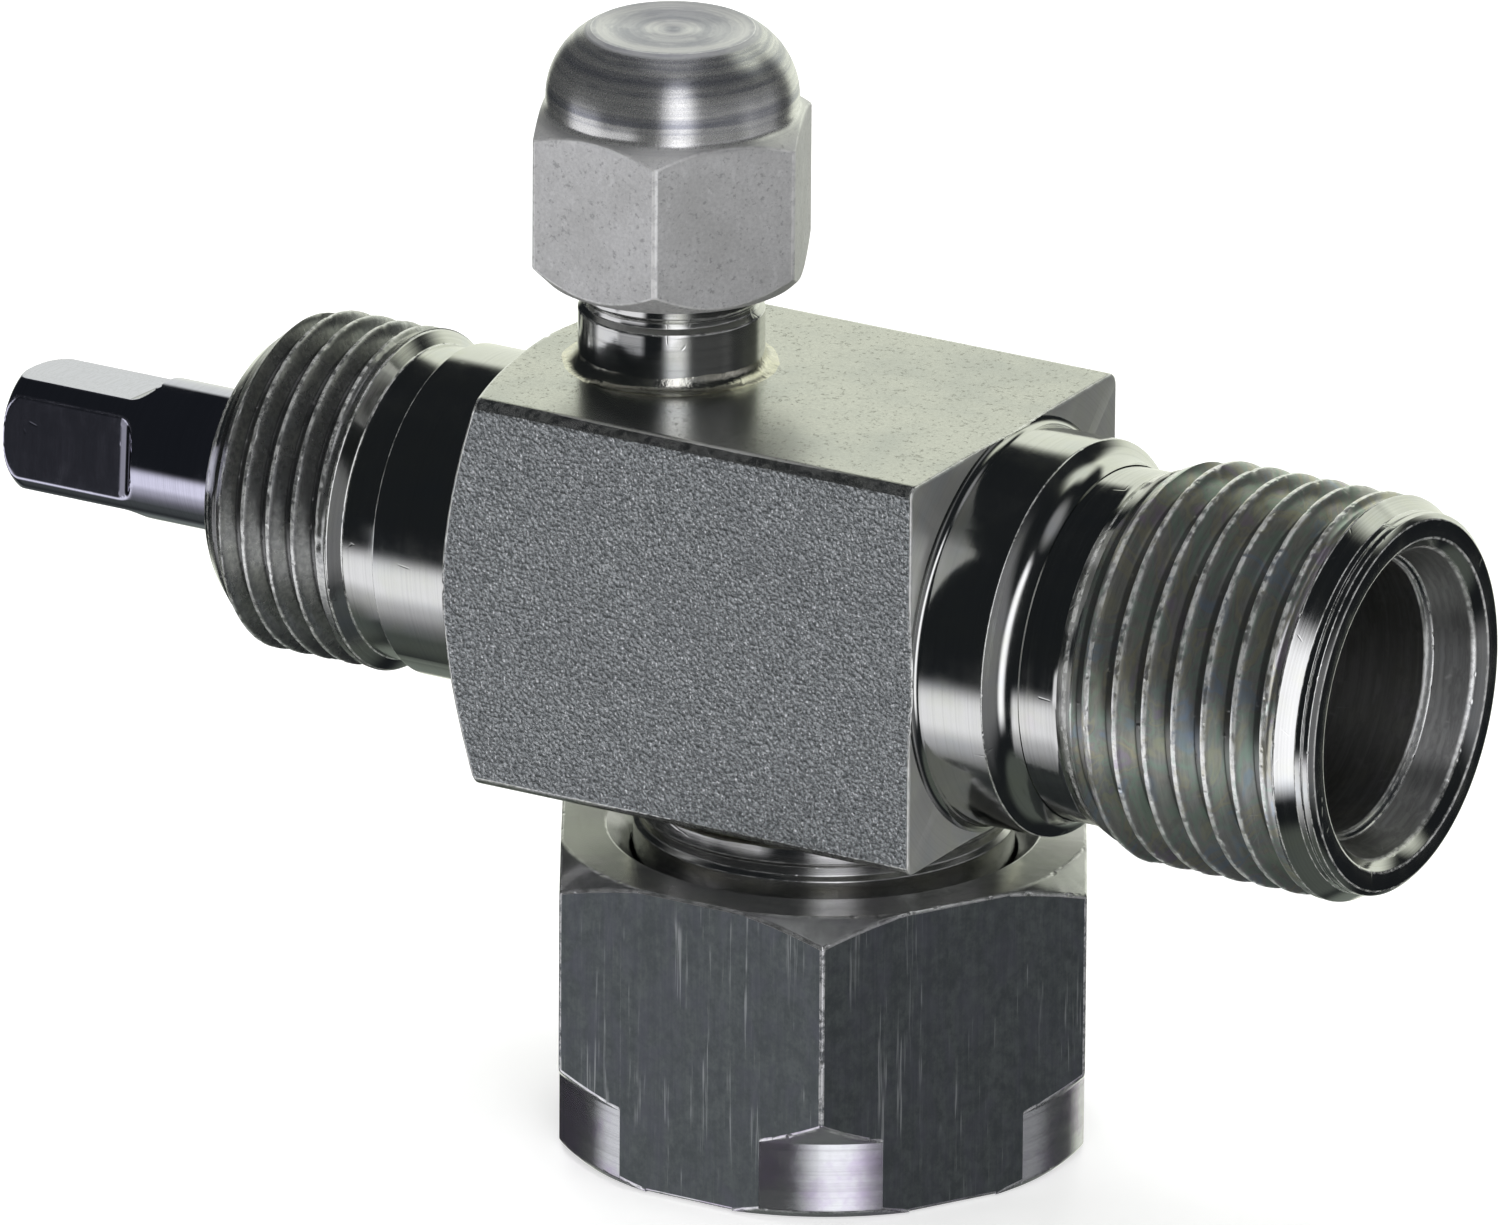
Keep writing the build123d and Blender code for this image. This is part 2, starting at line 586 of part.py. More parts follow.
# ---------------------------------------------------------------- valve_stem
with BuildPart() as valve_stem:
    with BuildSketch(FACE):
        with BuildLine():
            along_stem([
                (STEM_LEFT, 0),
                (STEM_LEFT, STEM_END_RADIUS),
                (STEM_LEFT + 0.35, STEM_RADIUS - 0.25),
                (STEM_LEFT + 0.9, STEM_RADIUS),
                (STEM_THREAD_START, STEM_RADIUS),
                (STEM_THREAD_START + STEM_THREAD_RADIUS - STEM_RADIUS, STEM_THREAD_RADIUS),
                (STEM_THREAD_END - STEM_THREAD_RADIUS + STEM_RADIUS, STEM_THREAD_RADIUS),
                (STEM_THREAD_END, STEM_RADIUS),
                (STEM_THREAD_END, STEM_WAIST_RADIUS),
                (STEM_COLLAR_START - 1, STEM_WAIST_RADIUS),
                (STEM_COLLAR_START, STEM_COLLAR_RADIUS),
                (DISC_LEFT - RUNNING_GAP, STEM_COLLAR_RADIUS),
                (DISC_LEFT - RUNNING_GAP, JOURNAL_RADIUS),
                (RING_GROOVE_START, JOURNAL_RADIUS),
                (RING_GROOVE_START, RING_GROOVE_RADIUS),
                (RING_GROOVE_START + RING_THICKNESS + 2 * RUNNING_GAP, RING_GROOVE_RADIUS),
                (RING_GROOVE_START + RING_THICKNESS + 2 * RUNNING_GAP, JOURNAL_RADIUS),
                (STEM_RIGHT - 0.2, JOURNAL_RADIUS),
                (STEM_RIGHT, JOURNAL_RADIUS - 0.2),
                (STEM_RIGHT, 0),
            ])
        make_face()
    revolve(axis=stem_axis())
    cut_grooves_along_stem(STEM_THREAD_START, STEM_THREAD_END, STEM_THREAD_PITCH, STEM_THREAD_RADIUS)
    # square for the valve key: four flats milled to the end, each with a curved run-out
    for turn in range(4):
        side = Plane(origin=(0, 0, AXIS_HEIGHT), x_dir=(1, 0, 0), z_dir=(0, -1, 0)).rotated((90 * turn, 0, 0))
        with BuildSketch(side):
            with BuildLine():
                edge = Polyline(
                    (SQUARE_END, SQUARE_FLATS / 2),
                    (STEM_LEFT - 1, SQUARE_FLATS / 2),
                    (STEM_LEFT - 1, STEM_RADIUS + 1),
                    (SQUARE_END + SQUARE_RUN_OUT, STEM_RADIUS + 1),
                )
                RadiusArc(edge @ 1, edge @ 0, -SQUARE_CUTTER_RADIUS)
            make_face()
        extrude(amount=2 * STEM_RADIUS, both=True, mode=Mode.SUBTRACT)
write(valve_stem.part, "valve_stem")

# ---------------------------------------------------------------- seat_disc
with BuildPart() as seat_disc:
    slope = DISC_RADIUS - DISC_FACE_RADIUS
    with BuildSketch(FACE):
        with BuildLine():
            along_stem([
                (DISC_LEFT, JOURNAL_RADIUS + RUNNING_GAP),
                (DISC_LEFT, DISC_FACE_RADIUS),
                (DISC_LEFT + slope, DISC_RADIUS),
                (DISC_RIGHT - slope, DISC_RADIUS),
                (DISC_RIGHT, DISC_FACE_RADIUS),
                (DISC_RIGHT, JOURNAL_RADIUS + RUNNING_GAP),
            ])
        make_face()
    revolve(axis=stem_axis())
write(seat_disc.part, "seat_disc")

# ---------------------------------------------------------------- disc_spring_washer
with BuildPart() as disc_spring_washer:
    with BuildSketch(FACE):
        with BuildLine():
            along_stem([
                (DISC_RIGHT + WASHER_RISE, WASHER_INNER_RADIUS),
                (DISC_RIGHT, WASHER_OUTER_RADIUS),
                (DISC_RIGHT + WASHER_SHEET, WASHER_OUTER_RADIUS),
                (DISC_RIGHT + WASHER_RISE + WASHER_SHEET, WASHER_INNER_RADIUS),
            ])
        make_face()
    revolve(axis=stem_axis())
write(disc_spring_washer.part, "disc_spring_washer")

# ---------------------------------------------------------------- disc_retaining_ring
with BuildPart() as disc_retaining_ring:
    with BuildSketch(Plane.YZ.offset(RING_GROOVE_START + RUNNING_GAP)):
        with Locations((0, AXIS_HEIGHT)):
            Circle(RING_RADIUS)
            Circle(RING_GROOVE_RADIUS + FIXED_GAP, mode=Mode.SUBTRACT)
        with Locations((0, AXIS_HEIGHT - RING_RADIUS / 2)):
            Rectangle(RING_MOUTH, RING_RADIUS + 1, mode=Mode.SUBTRACT)
    extrude(amount=RING_THICKNESS)
write(disc_retaining_ring.part, "disc_retaining_ring")

# ---------------------------------------------------------------- stem packing, from the bore outwards
STEM_CLEARANCE_RADIUS = STEM_RADIUS + RUNNING_GAP
PACKING_OUTER_RADIUS = PACKING_BORE_RADIUS - FIXED_GAP


def packing_piece(name, right, length):
    """Write one ring around the stem and return where its left face is."""
    with BuildPart() as ring:
        with BuildSketch(FACE):
            with BuildLine():
                along_stem([
                    (right, STEM_CLEARANCE_RADIUS),
                    (right, PACKING_OUTER_RADIUS),
                    (right - length, PACKING_OUTER_RADIUS),
                    (right - length, STEM_CLEARANCE_RADIUS),
                ])
            make_face()
        revolve(axis=stem_axis())
    write(ring.part, name)
    return right - length


packing_place = packing_piece("packing_seat_washer", PACKING_FLOOR, PACKING_WASHER_THICKNESS)
for number in (1, 2, 3):
    packing_place = packing_piece(f"packing_ring_{number}", packing_place, PACKING_RING_LENGTH)
packing_place = packing_piece("packing_follower", packing_place, PACKING_WASHER_THICKNESS)

# ---------------------------------------------------------------- packing_gland
with BuildPart() as packing_gland:
    with BuildSketch(FACE):
        with BuildLine():
            along_stem([
                (packing_place, STEM_CLEARANCE_RADIUS),
                (packing_place, PACKING_OUTER_RADIUS),
                (GLAND_BORE_END - RUNNING_GAP, PACKING_OUTER_RADIUS),
                (GLAND_BORE_END - RUNNING_GAP, GLAND_BORE_RADIUS - FIXED_GAP),
                (GLAND_LEFT + GLAND_EDGE, GLAND_BORE_RADIUS - FIXED_GAP),
                (GLAND_LEFT, GLAND_BORE_RADIUS - FIXED_GAP - GLAND_EDGE),
                (GLAND_LEFT, STEM_CLEARANCE_RADIUS + GLAND_EDGE),
                (GLAND_LEFT + GLAND_EDGE, STEM_CLEARANCE_RADIUS),
            ])
        make_face()
    revolve(axis=stem_axis())
    # two slots for the spanner that tightens the gland
    with BuildSketch(Plane.YZ.offset(GLAND_LEFT)):
        with Locations((0, AXIS_HEIGHT)):
            Rectangle(2 * GLAND_BORE_RADIUS + 1, GLAND_SLOT_WIDTH)
    extrude(amount=GLAND_SLOT_DEPTH, mode=Mode.SUBTRACT)
write(packing_gland.part, "packing_gland")
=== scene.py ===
import math

import bmesh
import bpy
from mathutils import Matrix, Vector, noise


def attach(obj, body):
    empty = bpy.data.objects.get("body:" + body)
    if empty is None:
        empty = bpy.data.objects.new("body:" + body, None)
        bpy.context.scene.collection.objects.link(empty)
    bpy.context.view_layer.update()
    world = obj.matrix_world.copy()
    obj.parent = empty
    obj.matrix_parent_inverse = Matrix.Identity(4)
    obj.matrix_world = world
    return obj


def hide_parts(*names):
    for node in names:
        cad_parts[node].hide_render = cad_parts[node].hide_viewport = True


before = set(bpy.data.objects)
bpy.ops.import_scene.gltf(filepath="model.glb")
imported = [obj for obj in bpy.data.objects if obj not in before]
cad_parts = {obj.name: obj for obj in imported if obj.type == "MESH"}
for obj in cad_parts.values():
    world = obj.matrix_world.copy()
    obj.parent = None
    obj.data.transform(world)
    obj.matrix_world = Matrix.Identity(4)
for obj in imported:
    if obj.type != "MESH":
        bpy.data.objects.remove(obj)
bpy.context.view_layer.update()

# Lengths are millimetres until a mesh is made. +X runs along the stem and the outlet, +Z up the nut's axis.
MM = 0.001
TURN = 2 * math.pi
INCH = 25.4

# ---------------------------------------------------------------- the part's driving sizes
AXIS_HEIGHT = 31.1                  # stem and outlet axis above the nut's bottom face
BAR_HALF = 0.4375 * INCH
BLOCK_BOTTOM = AXIS_HEIGHT - BAR_HALF
BLOCK_TOP = AXIS_HEIGHT + BAR_HALF
BLOCK_LEFT = -17.6                  # where the turned left end meets its neck
BLOCK_RIGHT = 11.7                  # shoulder that faces the outlet
LEFT_NECK = 9.23
OUTLET_NECK = 10.94
OUTLET_BORE = 7.5
PORT_X = -9.8
PORT_NECK = 5.1
PORT_HOLE = 1.6
PORT_SPIGOT_DEPTH = 3.0
SPUD_RADIUS = 10.4
SPUD_SPIGOT_TOP = 21.5
NUT_HEIGHT = 17.4
NUT_THREAD_TOP = 8.4
NUT_THREAD_RADIUS = 11.72           # minor radius of the internal thread
NUT_NOTCH_RADII = (14.54, 14.94)    # foot and face of the turned notches
CAP_BOTTOM = 47.3
CAP_TOP = 61.3
STEM_TIP = -50.7
STEM_RADIUS = 0.15625 * INCH
STEM_THREAD = 4.74
SQUARE_FLAT = 0.125 * INCH

SEAL_CAP_PITCH = INCH / 16
OUTLET_PITCH = INCH / 14
FLARE_PITCH = INCH / 20
STEM_PITCH = INCH / 24

# Polygons: sides, distance of the flats from the axis, rounding of the corners, direction of one corner.
BAR = (4, BAR_HALF, 0.65, math.radians(45))
NUT_HEXAGON = (6, 0.5625 * INCH, 0.28, 0.0)
CAP_HEXAGON = (6, 0.28125 * INCH, 0.35, math.radians(-66))

# How finely the meshes follow the shapes.
ROUND_STEPS = 4                     # spans across a rounded corner of a profile
THREAD_ROWS = 20                    # rows in one pitch
MERGE = 0.0012                      # closer points become one
DEGENERATE = 0.0005
SAME_RADIUS = 1e-4
SHARP_ANGLE = math.radians(32)


# ---------------------------------------------------------------- turned shapes
def smooth(value, low, high):
    """0 below low, 1 above high, an S curve between them."""
    t = min(max((value - low) / (high - low), 0.0), 1.0)
    return t * t * (3 - 2 * t)


def reach(theta, sides, flat, rounding, corner):
    """Distance from the axis to a rounded polygon in direction theta, and whether that is on a corner."""
    half = math.pi / sides
    off_corner = (theta - corner + half) % (2 * half) - half
    off_flat = half - abs(off_corner)
    if off_flat <= math.atan((flat - rounding) * math.tan(half) / flat):
        return flat / math.cos(off_flat), False
    centre = (flat - rounding) / math.cos(half)
    side = centre * math.sin(off_corner)
    return centre * math.cos(off_corner) + math.sqrt(max(rounding ** 2 - side ** 2, 0.0)), True


def away(angle, place):
    """The angle between two directions, from 0 to half a turn."""
    return abs((angle - place + math.pi) % TURN - math.pi)


def directions(count, places=(), width=0.0):
    """Column angles: evenly spaced ones, and closely spaced ones across each place."""
    angles = [TURN * i / count for i in range(count)]
    angles = [a for a in angles if a == 0 or all(away(a, p) > 1.2 * width for p in places)]
    angles += [(p + width * j / 4) % TURN for p in places for j in range(-4, 5)]
    return sorted(a for a in angles if a == 0 or 0.002 < a < TURN - 0.002)


def corner_directions(count, sides, flat, rounding, corner, turned=()):
    """Columns for a polygon, with extra ones on its corners and where a turned radius meets its flats."""
    half = math.pi / sides
    width = half - math.atan((flat - rounding) * math.tan(half) / flat)
    corners = [corner + 2 * half * k for k in range(sides)]
    angles = directions(count, corners, width)
    angles += [(place + side * 1.1 * width) % TURN for place in corners for side in (-1, 1)]
    for radius in turned:
        meet = half - math.acos(flat / radius)
        for place in [p + side * meet for p in corners for side in (-1, 1)]:
            angles = [a for a in angles if a == 0 or away(a, place) > 0.010]
            angles += [(place + step) % TURN for step in (-0.004, -0.0005, 0.0005, 0.004)]
    return sorted(angles)


def clipped(points, limit):
    """Cut a profile off at a radius. Its widest two points stand side by side and become the cut's ends."""
    out = [list(p) for p in points]
    peak = max(range(len(points)), key=lambda i: points[i][1])
    low, high = peak, peak + 1
    while points[low][1] > limit:
        low -= 1
    while points[high][1] > limit:
        high += 1
    rising = (low, low + 1, range(low + 1, peak + 1))
    falling = (high, high - 1, range(peak + 1, high))
    for inside, outside, moved in (rising, falling):
        (s0, r0), (s1, r1) = points[inside][:2], points[outside][:2]
        s = s0 + (s1 - s0) * (limit - r0) / (r1 - r0)
        for i in moved:
            out[i][0], out[i][1] = s, limit
            if i not in (peak, peak + 1):
                out[i][2] = -abs(out[i][2])
    return out


def rounded(points):
    """A closed profile of (along, radius, rounding) as (along, radius, edge), with its corners rounded off.

    A rounding below 0 marks a point that has moved onto a neighbour. It gives as many rows as a round corner,
    all in the neighbour's place, so that every column of a piece has the same number of rows.
    """
    count = len(points)
    ends = {}
    for i, (s, r, size) in enumerate(points):
        if size <= 0:
            continue
        here = Vector((s, r))
        arms = []
        for step in (-1, 1):
            j = i
            for _ in range(count - 1):
                j = (j + step) % count
                arm = Vector(points[j][:2]) - here
                if arm.length > 1e-6:
                    break
            arms.append(arm.normalized() * min(size, 0.45 * arm.length))
        ends[i] = (here + arms[0], here, here + arms[1])
    out = []
    near = range(1, 6)
    for i, (s, r, size) in enumerate(points):
        if i in ends:
            a, b, c = ends[i]
            for k in range(ROUND_STEPS + 1):
                t = k / ROUND_STEPS
                p = a * (1 - t) ** 2 + b * 2 * t * (1 - t) + c * t * t
                out.append((p.x, p.y, math.sin(math.pi * t)))
            continue
        place = Vector((s, r))
        for j, end in [(i + k, 0) for k in near] + [(i - k, 2) for k in near]:
            if j in ends and (ends[j][1] - place).length < 1e-6:
                place = ends[j][end]
                break
        out += [(place.x, place.y, 0.0)] * (ROUND_STEPS + 1 if size < 0 else 1)
    return out


def arc(start, centre, end, count):
    """Points strictly between start and end on the circle about centre."""
    a0 = math.atan2(start[1] - centre[1], start[0] - centre[0])
    a1 = math.atan2(end[1] - centre[1], end[0] - centre[0])
    turn = (a1 - a0 + math.pi) % TURN - math.pi
    radius = math.dist(start, centre)
    angles = [a0 + turn * (k + 1) / (count + 1) for k in range(count)]
    return [(centre[0] + radius * math.cos(a), centre[1] + radius * math.sin(a), 0.0) for a in angles]


def straight(points):
    """Radius as a function of the place along the axis, from (along, radius) points."""
    def at(s):
        for (s0, r0), (s1, r1) in zip(points, points[1:]):
            if s <= s1:
                return r0 + (r1 - r0) * max(s - s0, 0.0) / (s1 - s0)
        return points[-1][1]
    return at


def groove(phase):
    """Depth of a 60 degree thread, 0 on the crest to 1 at the root, over one pitch."""
    t = min(max((abs(phase - 0.5) * 2 - 0.17) / 0.70, 0.0), 1.0)
    return 1 - (0.65 * t + 0.35 * t * t * (3 - 2 * t))


def thread(theta, start, end, pitch, crest, blank, fade_start=0.0, fade_end=0.0, phase=0.0, inner=False,
           seed=0.0):
    """One column of a right-hand thread as (along, radius, mark) rows that follow the helix.

    blank gives the radius of the piece before the thread is cut. The mark is 1 on the crest and -1 in the root.
    """
    depth = 0.6134 * pitch
    rows = []
    for j in range(-THREAD_ROWS, int((end - start) / pitch * THREAD_ROWS) + THREAD_ROWS + 1):
        s = start + pitch * (j / THREAD_ROWS + theta / TURN)
        if s <= start + 1e-9 or s >= end - 1e-9:
            s = min(max(s, start), end)
            rows.append((s, blank(s), 0.0))
            continue
        cut = groove((j / THREAD_ROWS + phase) % 1.0)
        fade = 1.0
        if fade_start:
            fade *= smooth(s, start, start + fade_start)
        if fade_end:
            fade *= 1 - smooth(s, end - fade_end, end)
        if inner:
            rows.append((s, max(blank(s), crest + depth * fade * cut), 0.0))
            continue
        y, z = crest * math.cos(theta), crest * math.sin(theta)
        nick = noise.noise(Vector((s * 1.1, y * 1.7 + seed, z * 1.7)))
        dent = 0.07 * smooth(nick, 0.34, 0.6) * (1 - cut)
        mark = 0.0 if fade < 0.5 else 1.0 if cut < 0.05 else -1.0 if cut > 0.93 else 0.0
        rows.append((s, min(blank(s), crest - depth * fade * cut - dent), mark))
    return rows


def with_thread(first, rows, last):
    """A rounded profile with a thread's rows between its first and its last points."""
    points = rounded(first + last)
    cut = sum(ROUND_STEPS + 1 if size > 0 else 1 for _, _, size in first)
    return points[:cut] + rows + points[cut:]


def marked(points, limit, on_corner, mark=1.0):
    """The points of a column with the edge mark set on a polygon's corner."""
    if not on_corner:
        return points
    return [(s, r, mark if abs(r - limit) < SAME_RADIUS else edge) for s, r, edge in points]


def build(name, outline, angles, axis="X", at=0.0, polygon=None):
    """A closed turned or part-turned solid. outline(theta) gives its profile in that direction.

    at is the X of an upright axis. Points on the polygon's flats get the mark "flat".
    """
    verts, marks, flats = [], [], []
    columns = angles + [angles[0] + TURN]
    for theta in columns:
        points = outline(theta)
        limit = reach(theta, *polygon)[0] if polygon else math.inf
        c, s = math.cos(theta), math.sin(theta)
        for along, radius, mark in points:
            if axis == "X":
                place = (along, radius * c, AXIS_HEIGHT + radius * s)
            else:
                place = (at + radius * c, radius * s, along)
            verts.append([v * MM for v in place])
            marks.append(mark)
            flats.append(1.0 if abs(radius - limit) < 0.003 else 0.0)
    count = len(points)
    faces = []
    for i in range(len(columns) - 1):
        for j in range(count):
            k = (j + 1) % count
            faces.append((i * count + j, i * count + k, (i + 1) * count + k, (i + 1) * count + j))
    mesh = bpy.data.meshes.new(name)
    mesh.from_pydata(verts, [], faces)
    mesh.attributes.new("edge", "FLOAT", "POINT").data.foreach_set("value", marks)
    mesh.attributes.new("flat", "FLOAT", "POINT").data.foreach_set("value", flats)
    work = bmesh.new()
    work.from_mesh(mesh)
    bmesh.ops.remove_doubles(work, verts=work.verts, dist=MERGE * MM)
    bmesh.ops.dissolve_degenerate(work, edges=work.edges, dist=DEGENERATE * MM)
    bmesh.ops.recalc_face_normals(work, faces=work.faces)
    for face in work.faces:
        face.smooth = True
    work.to_mesh(mesh)
    work.free()
    mesh.set_sharp_from_angle(angle=SHARP_ANGLE)
    piece = bpy.data.objects.new(name, mesh)
    bpy.context.scene.collection.objects.link(piece)
    return piece


def finish_piece(piece, material, body, node):
    """Shading, material and frame of a piece that stands for one CAD node."""
    normals = piece.modifiers.new("normals", "WEIGHTED_NORMAL")
    normals.weight = 100
    normals.keep_sharp = True
    piece.data.materials.clear()
    piece.data.materials.append(material)
    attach(piece, body)
    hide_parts(node)
    return piece


# ---------------------------------------------------------------- materials
def is_socket(value):
    return hasattr(value, "is_output")


def opaque(color):
    """A colour of three numbers as four. A socket stays as it is."""
    return color if is_socket(color) else (*color, 1.0)


def shade(color, factor):
    return [c * factor for c in color]


class Nodes:
    """A node tree that is written as expressions: each method adds nodes and returns an output."""

    def __init__(self, tree, place):
        self.tree = tree
        self.tree.nodes.clear()
        self.place = self.add("TexCoord").outputs[place]

    def add(self, kind, **settings):
        node = self.tree.nodes.new("ShaderNode" + kind)
        for name, value in settings.items():
            setattr(node, name, value)
        return node

    def put(self, socket, value):
        if is_socket(value):
            self.tree.links.new(value, socket)
        else:
            socket.default_value = value

    def fill(self, node, *values):
        """Give a node its first inputs, in order, and return its first output."""
        for socket, value in zip(node.inputs, values):
            self.put(socket, value)
        return node.outputs[0]

    def math(self, operation, *values):
        return self.fill(self.add("Math", operation=operation), *values)

    def plus(self, a, b):
        return self.math("ADD", a, b)

    def minus(self, a, b):
        return self.math("SUBTRACT", a, b)

    def times(self, a, b):
        return self.math("MULTIPLY", a, b)

    def most(self, a, b):
        return self.math("MAXIMUM", a, b)

    def parts(self, vector):
        node = self.add("SeparateXYZ")
        self.put(node.inputs[0], vector)
        return node.outputs

    def vector(self, x, y, z):
        return self.fill(self.add("CombineXYZ"), x, y, z)

    def scaled(self, x, y, z):
        """The place, stretched by a factor along each axis."""
        return self.fill(self.add("VectorMath", operation="MULTIPLY"), self.place, (x, y, z))

    def noise(self, vector, scale, detail=2.0, rough=0.5, distortion=0.0):
        node = self.add("TexNoise")
        inputs = (("Vector", vector), ("Scale", scale), ("Detail", detail), ("Roughness", rough),
                  ("Distortion", distortion))
        for name, value in inputs:
            self.put(node.inputs[name], value)
        return node.outputs[0]

    def cells(self, vector, scale, feature="F1"):
        node = self.add("TexVoronoi", feature=feature)
        self.put(node.inputs["Vector"], vector)
        self.put(node.inputs["Scale"], scale)
        return node.outputs["Distance"]

    def ramp(self, value, low, high, to_low=0.0, to_high=1.0):
        """A smooth step from to_low at low to to_high at high."""
        node = self.add("MapRange", interpolation_type="SMOOTHSTEP")
        return self.fill(node, value, low, high, to_low, to_high)

    def mix(self, share, a, b):
        """Colour a where the share is 0 and colour b where it is 1."""
        node = self.add("Mix", data_type="RGBA")
        self.put(node.inputs[0], share)
        self.put(node.inputs[6], opaque(a))
        self.put(node.inputs[7], opaque(b))
        return node.outputs[2]


class Shader(Nodes):
    """A material with one principled shader. Places are in metres, in the piece's own space."""

    def __init__(self, name):
        self.material = bpy.data.materials.new(name)
        self.material.use_nodes = True
        super().__init__(self.material.node_tree, "Object")
        self.bsdf = self.add("BsdfPrincipled")
        self.put(self.add("OutputMaterial").inputs[0], self.bsdf.outputs[0])
        self.normal = None

    def mark(self, name):
        return self.add("Attribute", attribute_name=name).outputs["Fac"]

    def lay(self, axis, amount):
        """Stretch reflections across the lathe lines that run round an axis."""
        tangent = self.add("Tangent", direction_type="RADIAL", axis=axis)
        self.put(self.bsdf.inputs["Tangent"], tangent.outputs[0])
        self.put(self.bsdf.inputs["Anisotropic"], amount)
        self.bsdf.inputs["Anisotropic Rotation"].default_value = 0.25

    def bump(self, height, depth_mm):
        """Relief on top of the relief laid so far."""
        node = self.add("Bump")
        node.inputs["Strength"].default_value = 1.0
        node.inputs["Distance"].default_value = depth_mm * MM
        self.put(node.inputs["Height"], height)
        if self.normal:
            self.put(node.inputs["Normal"], self.normal)
        self.normal = node.outputs[0]

    def around(self, axis, x0=0.0):
        """(place along the axis, distance from it) for lines that run round a turned piece."""
        x, y, z = self.parts(self.place)
        if axis == "X":
            across, along = self.minus(z, AXIS_HEIGHT * MM), x
        else:
            across, along = self.minus(x, x0 * MM), z
        return along, self.math("SQRT", self.plus(self.times(across, across), self.times(y, y)))

    def after(self, place, low, high):
        """0 before low and 1 after high, both in millimetres."""
        return self.ramp(place, low * MM, high * MM)

    def until(self, place, low, high):
        """1 before low and 0 after high, both in millimetres."""
        return self.ramp(place, low * MM, high * MM, 1.0, 0.0)

    def zone(self, along, out, box, soft=0.15):
        """1 inside a ring-shaped region (from, to, inner radius, outer radius) of a turned piece, 0 outside."""
        low, high, inner, outer = box
        length = self.times(self.after(along, low - soft, low + soft),
                            self.until(along, high - soft, high + soft))
        depth = self.times(self.after(out, inner - soft, inner + soft),
                           self.until(out, outer - soft, outer + soft))
        return self.times(length, depth)

    def painted_root_shade(self, base, color):
        """Painted shade in the thread roots and the stem's run-out, where the edge mark is below 0."""
        return self.mix(self.ramp(self.mark("edge"), -0.9, -0.1, 0.75, 0.0), base, color)

    def rubbed_edges_and_highlight(self, scale, detail, rough, low, high, least):
        """The edge mark, broken up so that the rubbed metal and the painted highlight come and go along an
        edge.
        """
        rub_and_highlight = self.ramp(self.noise(self.place, scale, detail, rough), low, high, least, 1.0)
        return self.times(self.mark("edge"), rub_and_highlight)

    def chip(self, scale, size, depth_mm):
        """Small chips out of the marked edges."""
        chips = self.ramp(self.cells(self.place, scale), 0.05, size, 1.0, 0.0)
        self.bump(self.times(self.times(self.mark("edge"), chips), -1.0), depth_mm)

    def hairlines(self, vector, scale):
        """A web of thin lines, 1 on a line."""
        return self.ramp(self.cells(vector, scale, "DISTANCE_TO_EDGE"), 0.0, 0.012, 1.0, 0.0)

    def sparse(self, lines):
        """The few places where lines show."""
        return self.times(lines, self.ramp(self.noise(self.place, 700, 2), 0.60, 0.68))

    def done(self, color, roughness, metallic=1.0):
        self.put(self.bsdf.inputs["Base Color"], opaque(color))
        self.put(self.bsdf.inputs["Roughness"], roughness)
        self.put(self.bsdf.inputs["Metallic"], metallic)
        if self.normal:
            self.put(self.bsdf.inputs["Normal"], self.normal)
        return self.material


# Tints of the chromate film as (from, to, colour) over a noise from 0 to 1: blue, green, straw and purple.
FILM_TINTS = (
    (0.30, 0.42, (0.46, 0.58, 0.72)), (0.44, 0.52, (0.50, 0.66, 0.56)),
    (0.52, 0.60, (0.70, 0.68, 0.50)), (0.60, 0.72, (0.62, 0.50, 0.68)),
)


def iridescence(m, base, share):
    """Thin-film tints in slow bands."""
    film = m.noise(m.scaled(1.0, 0.7, 0.7), 330, 3, 0.6, 0.8)
    for low, high, color in FILM_TINTS:
        middle = (low + high) / 2
        band = m.times(m.ramp(film, low, middle), m.ramp(film, middle, high, 1.0, 0.0))
        base = m.mix(m.times(band, share), base, color)
    return base


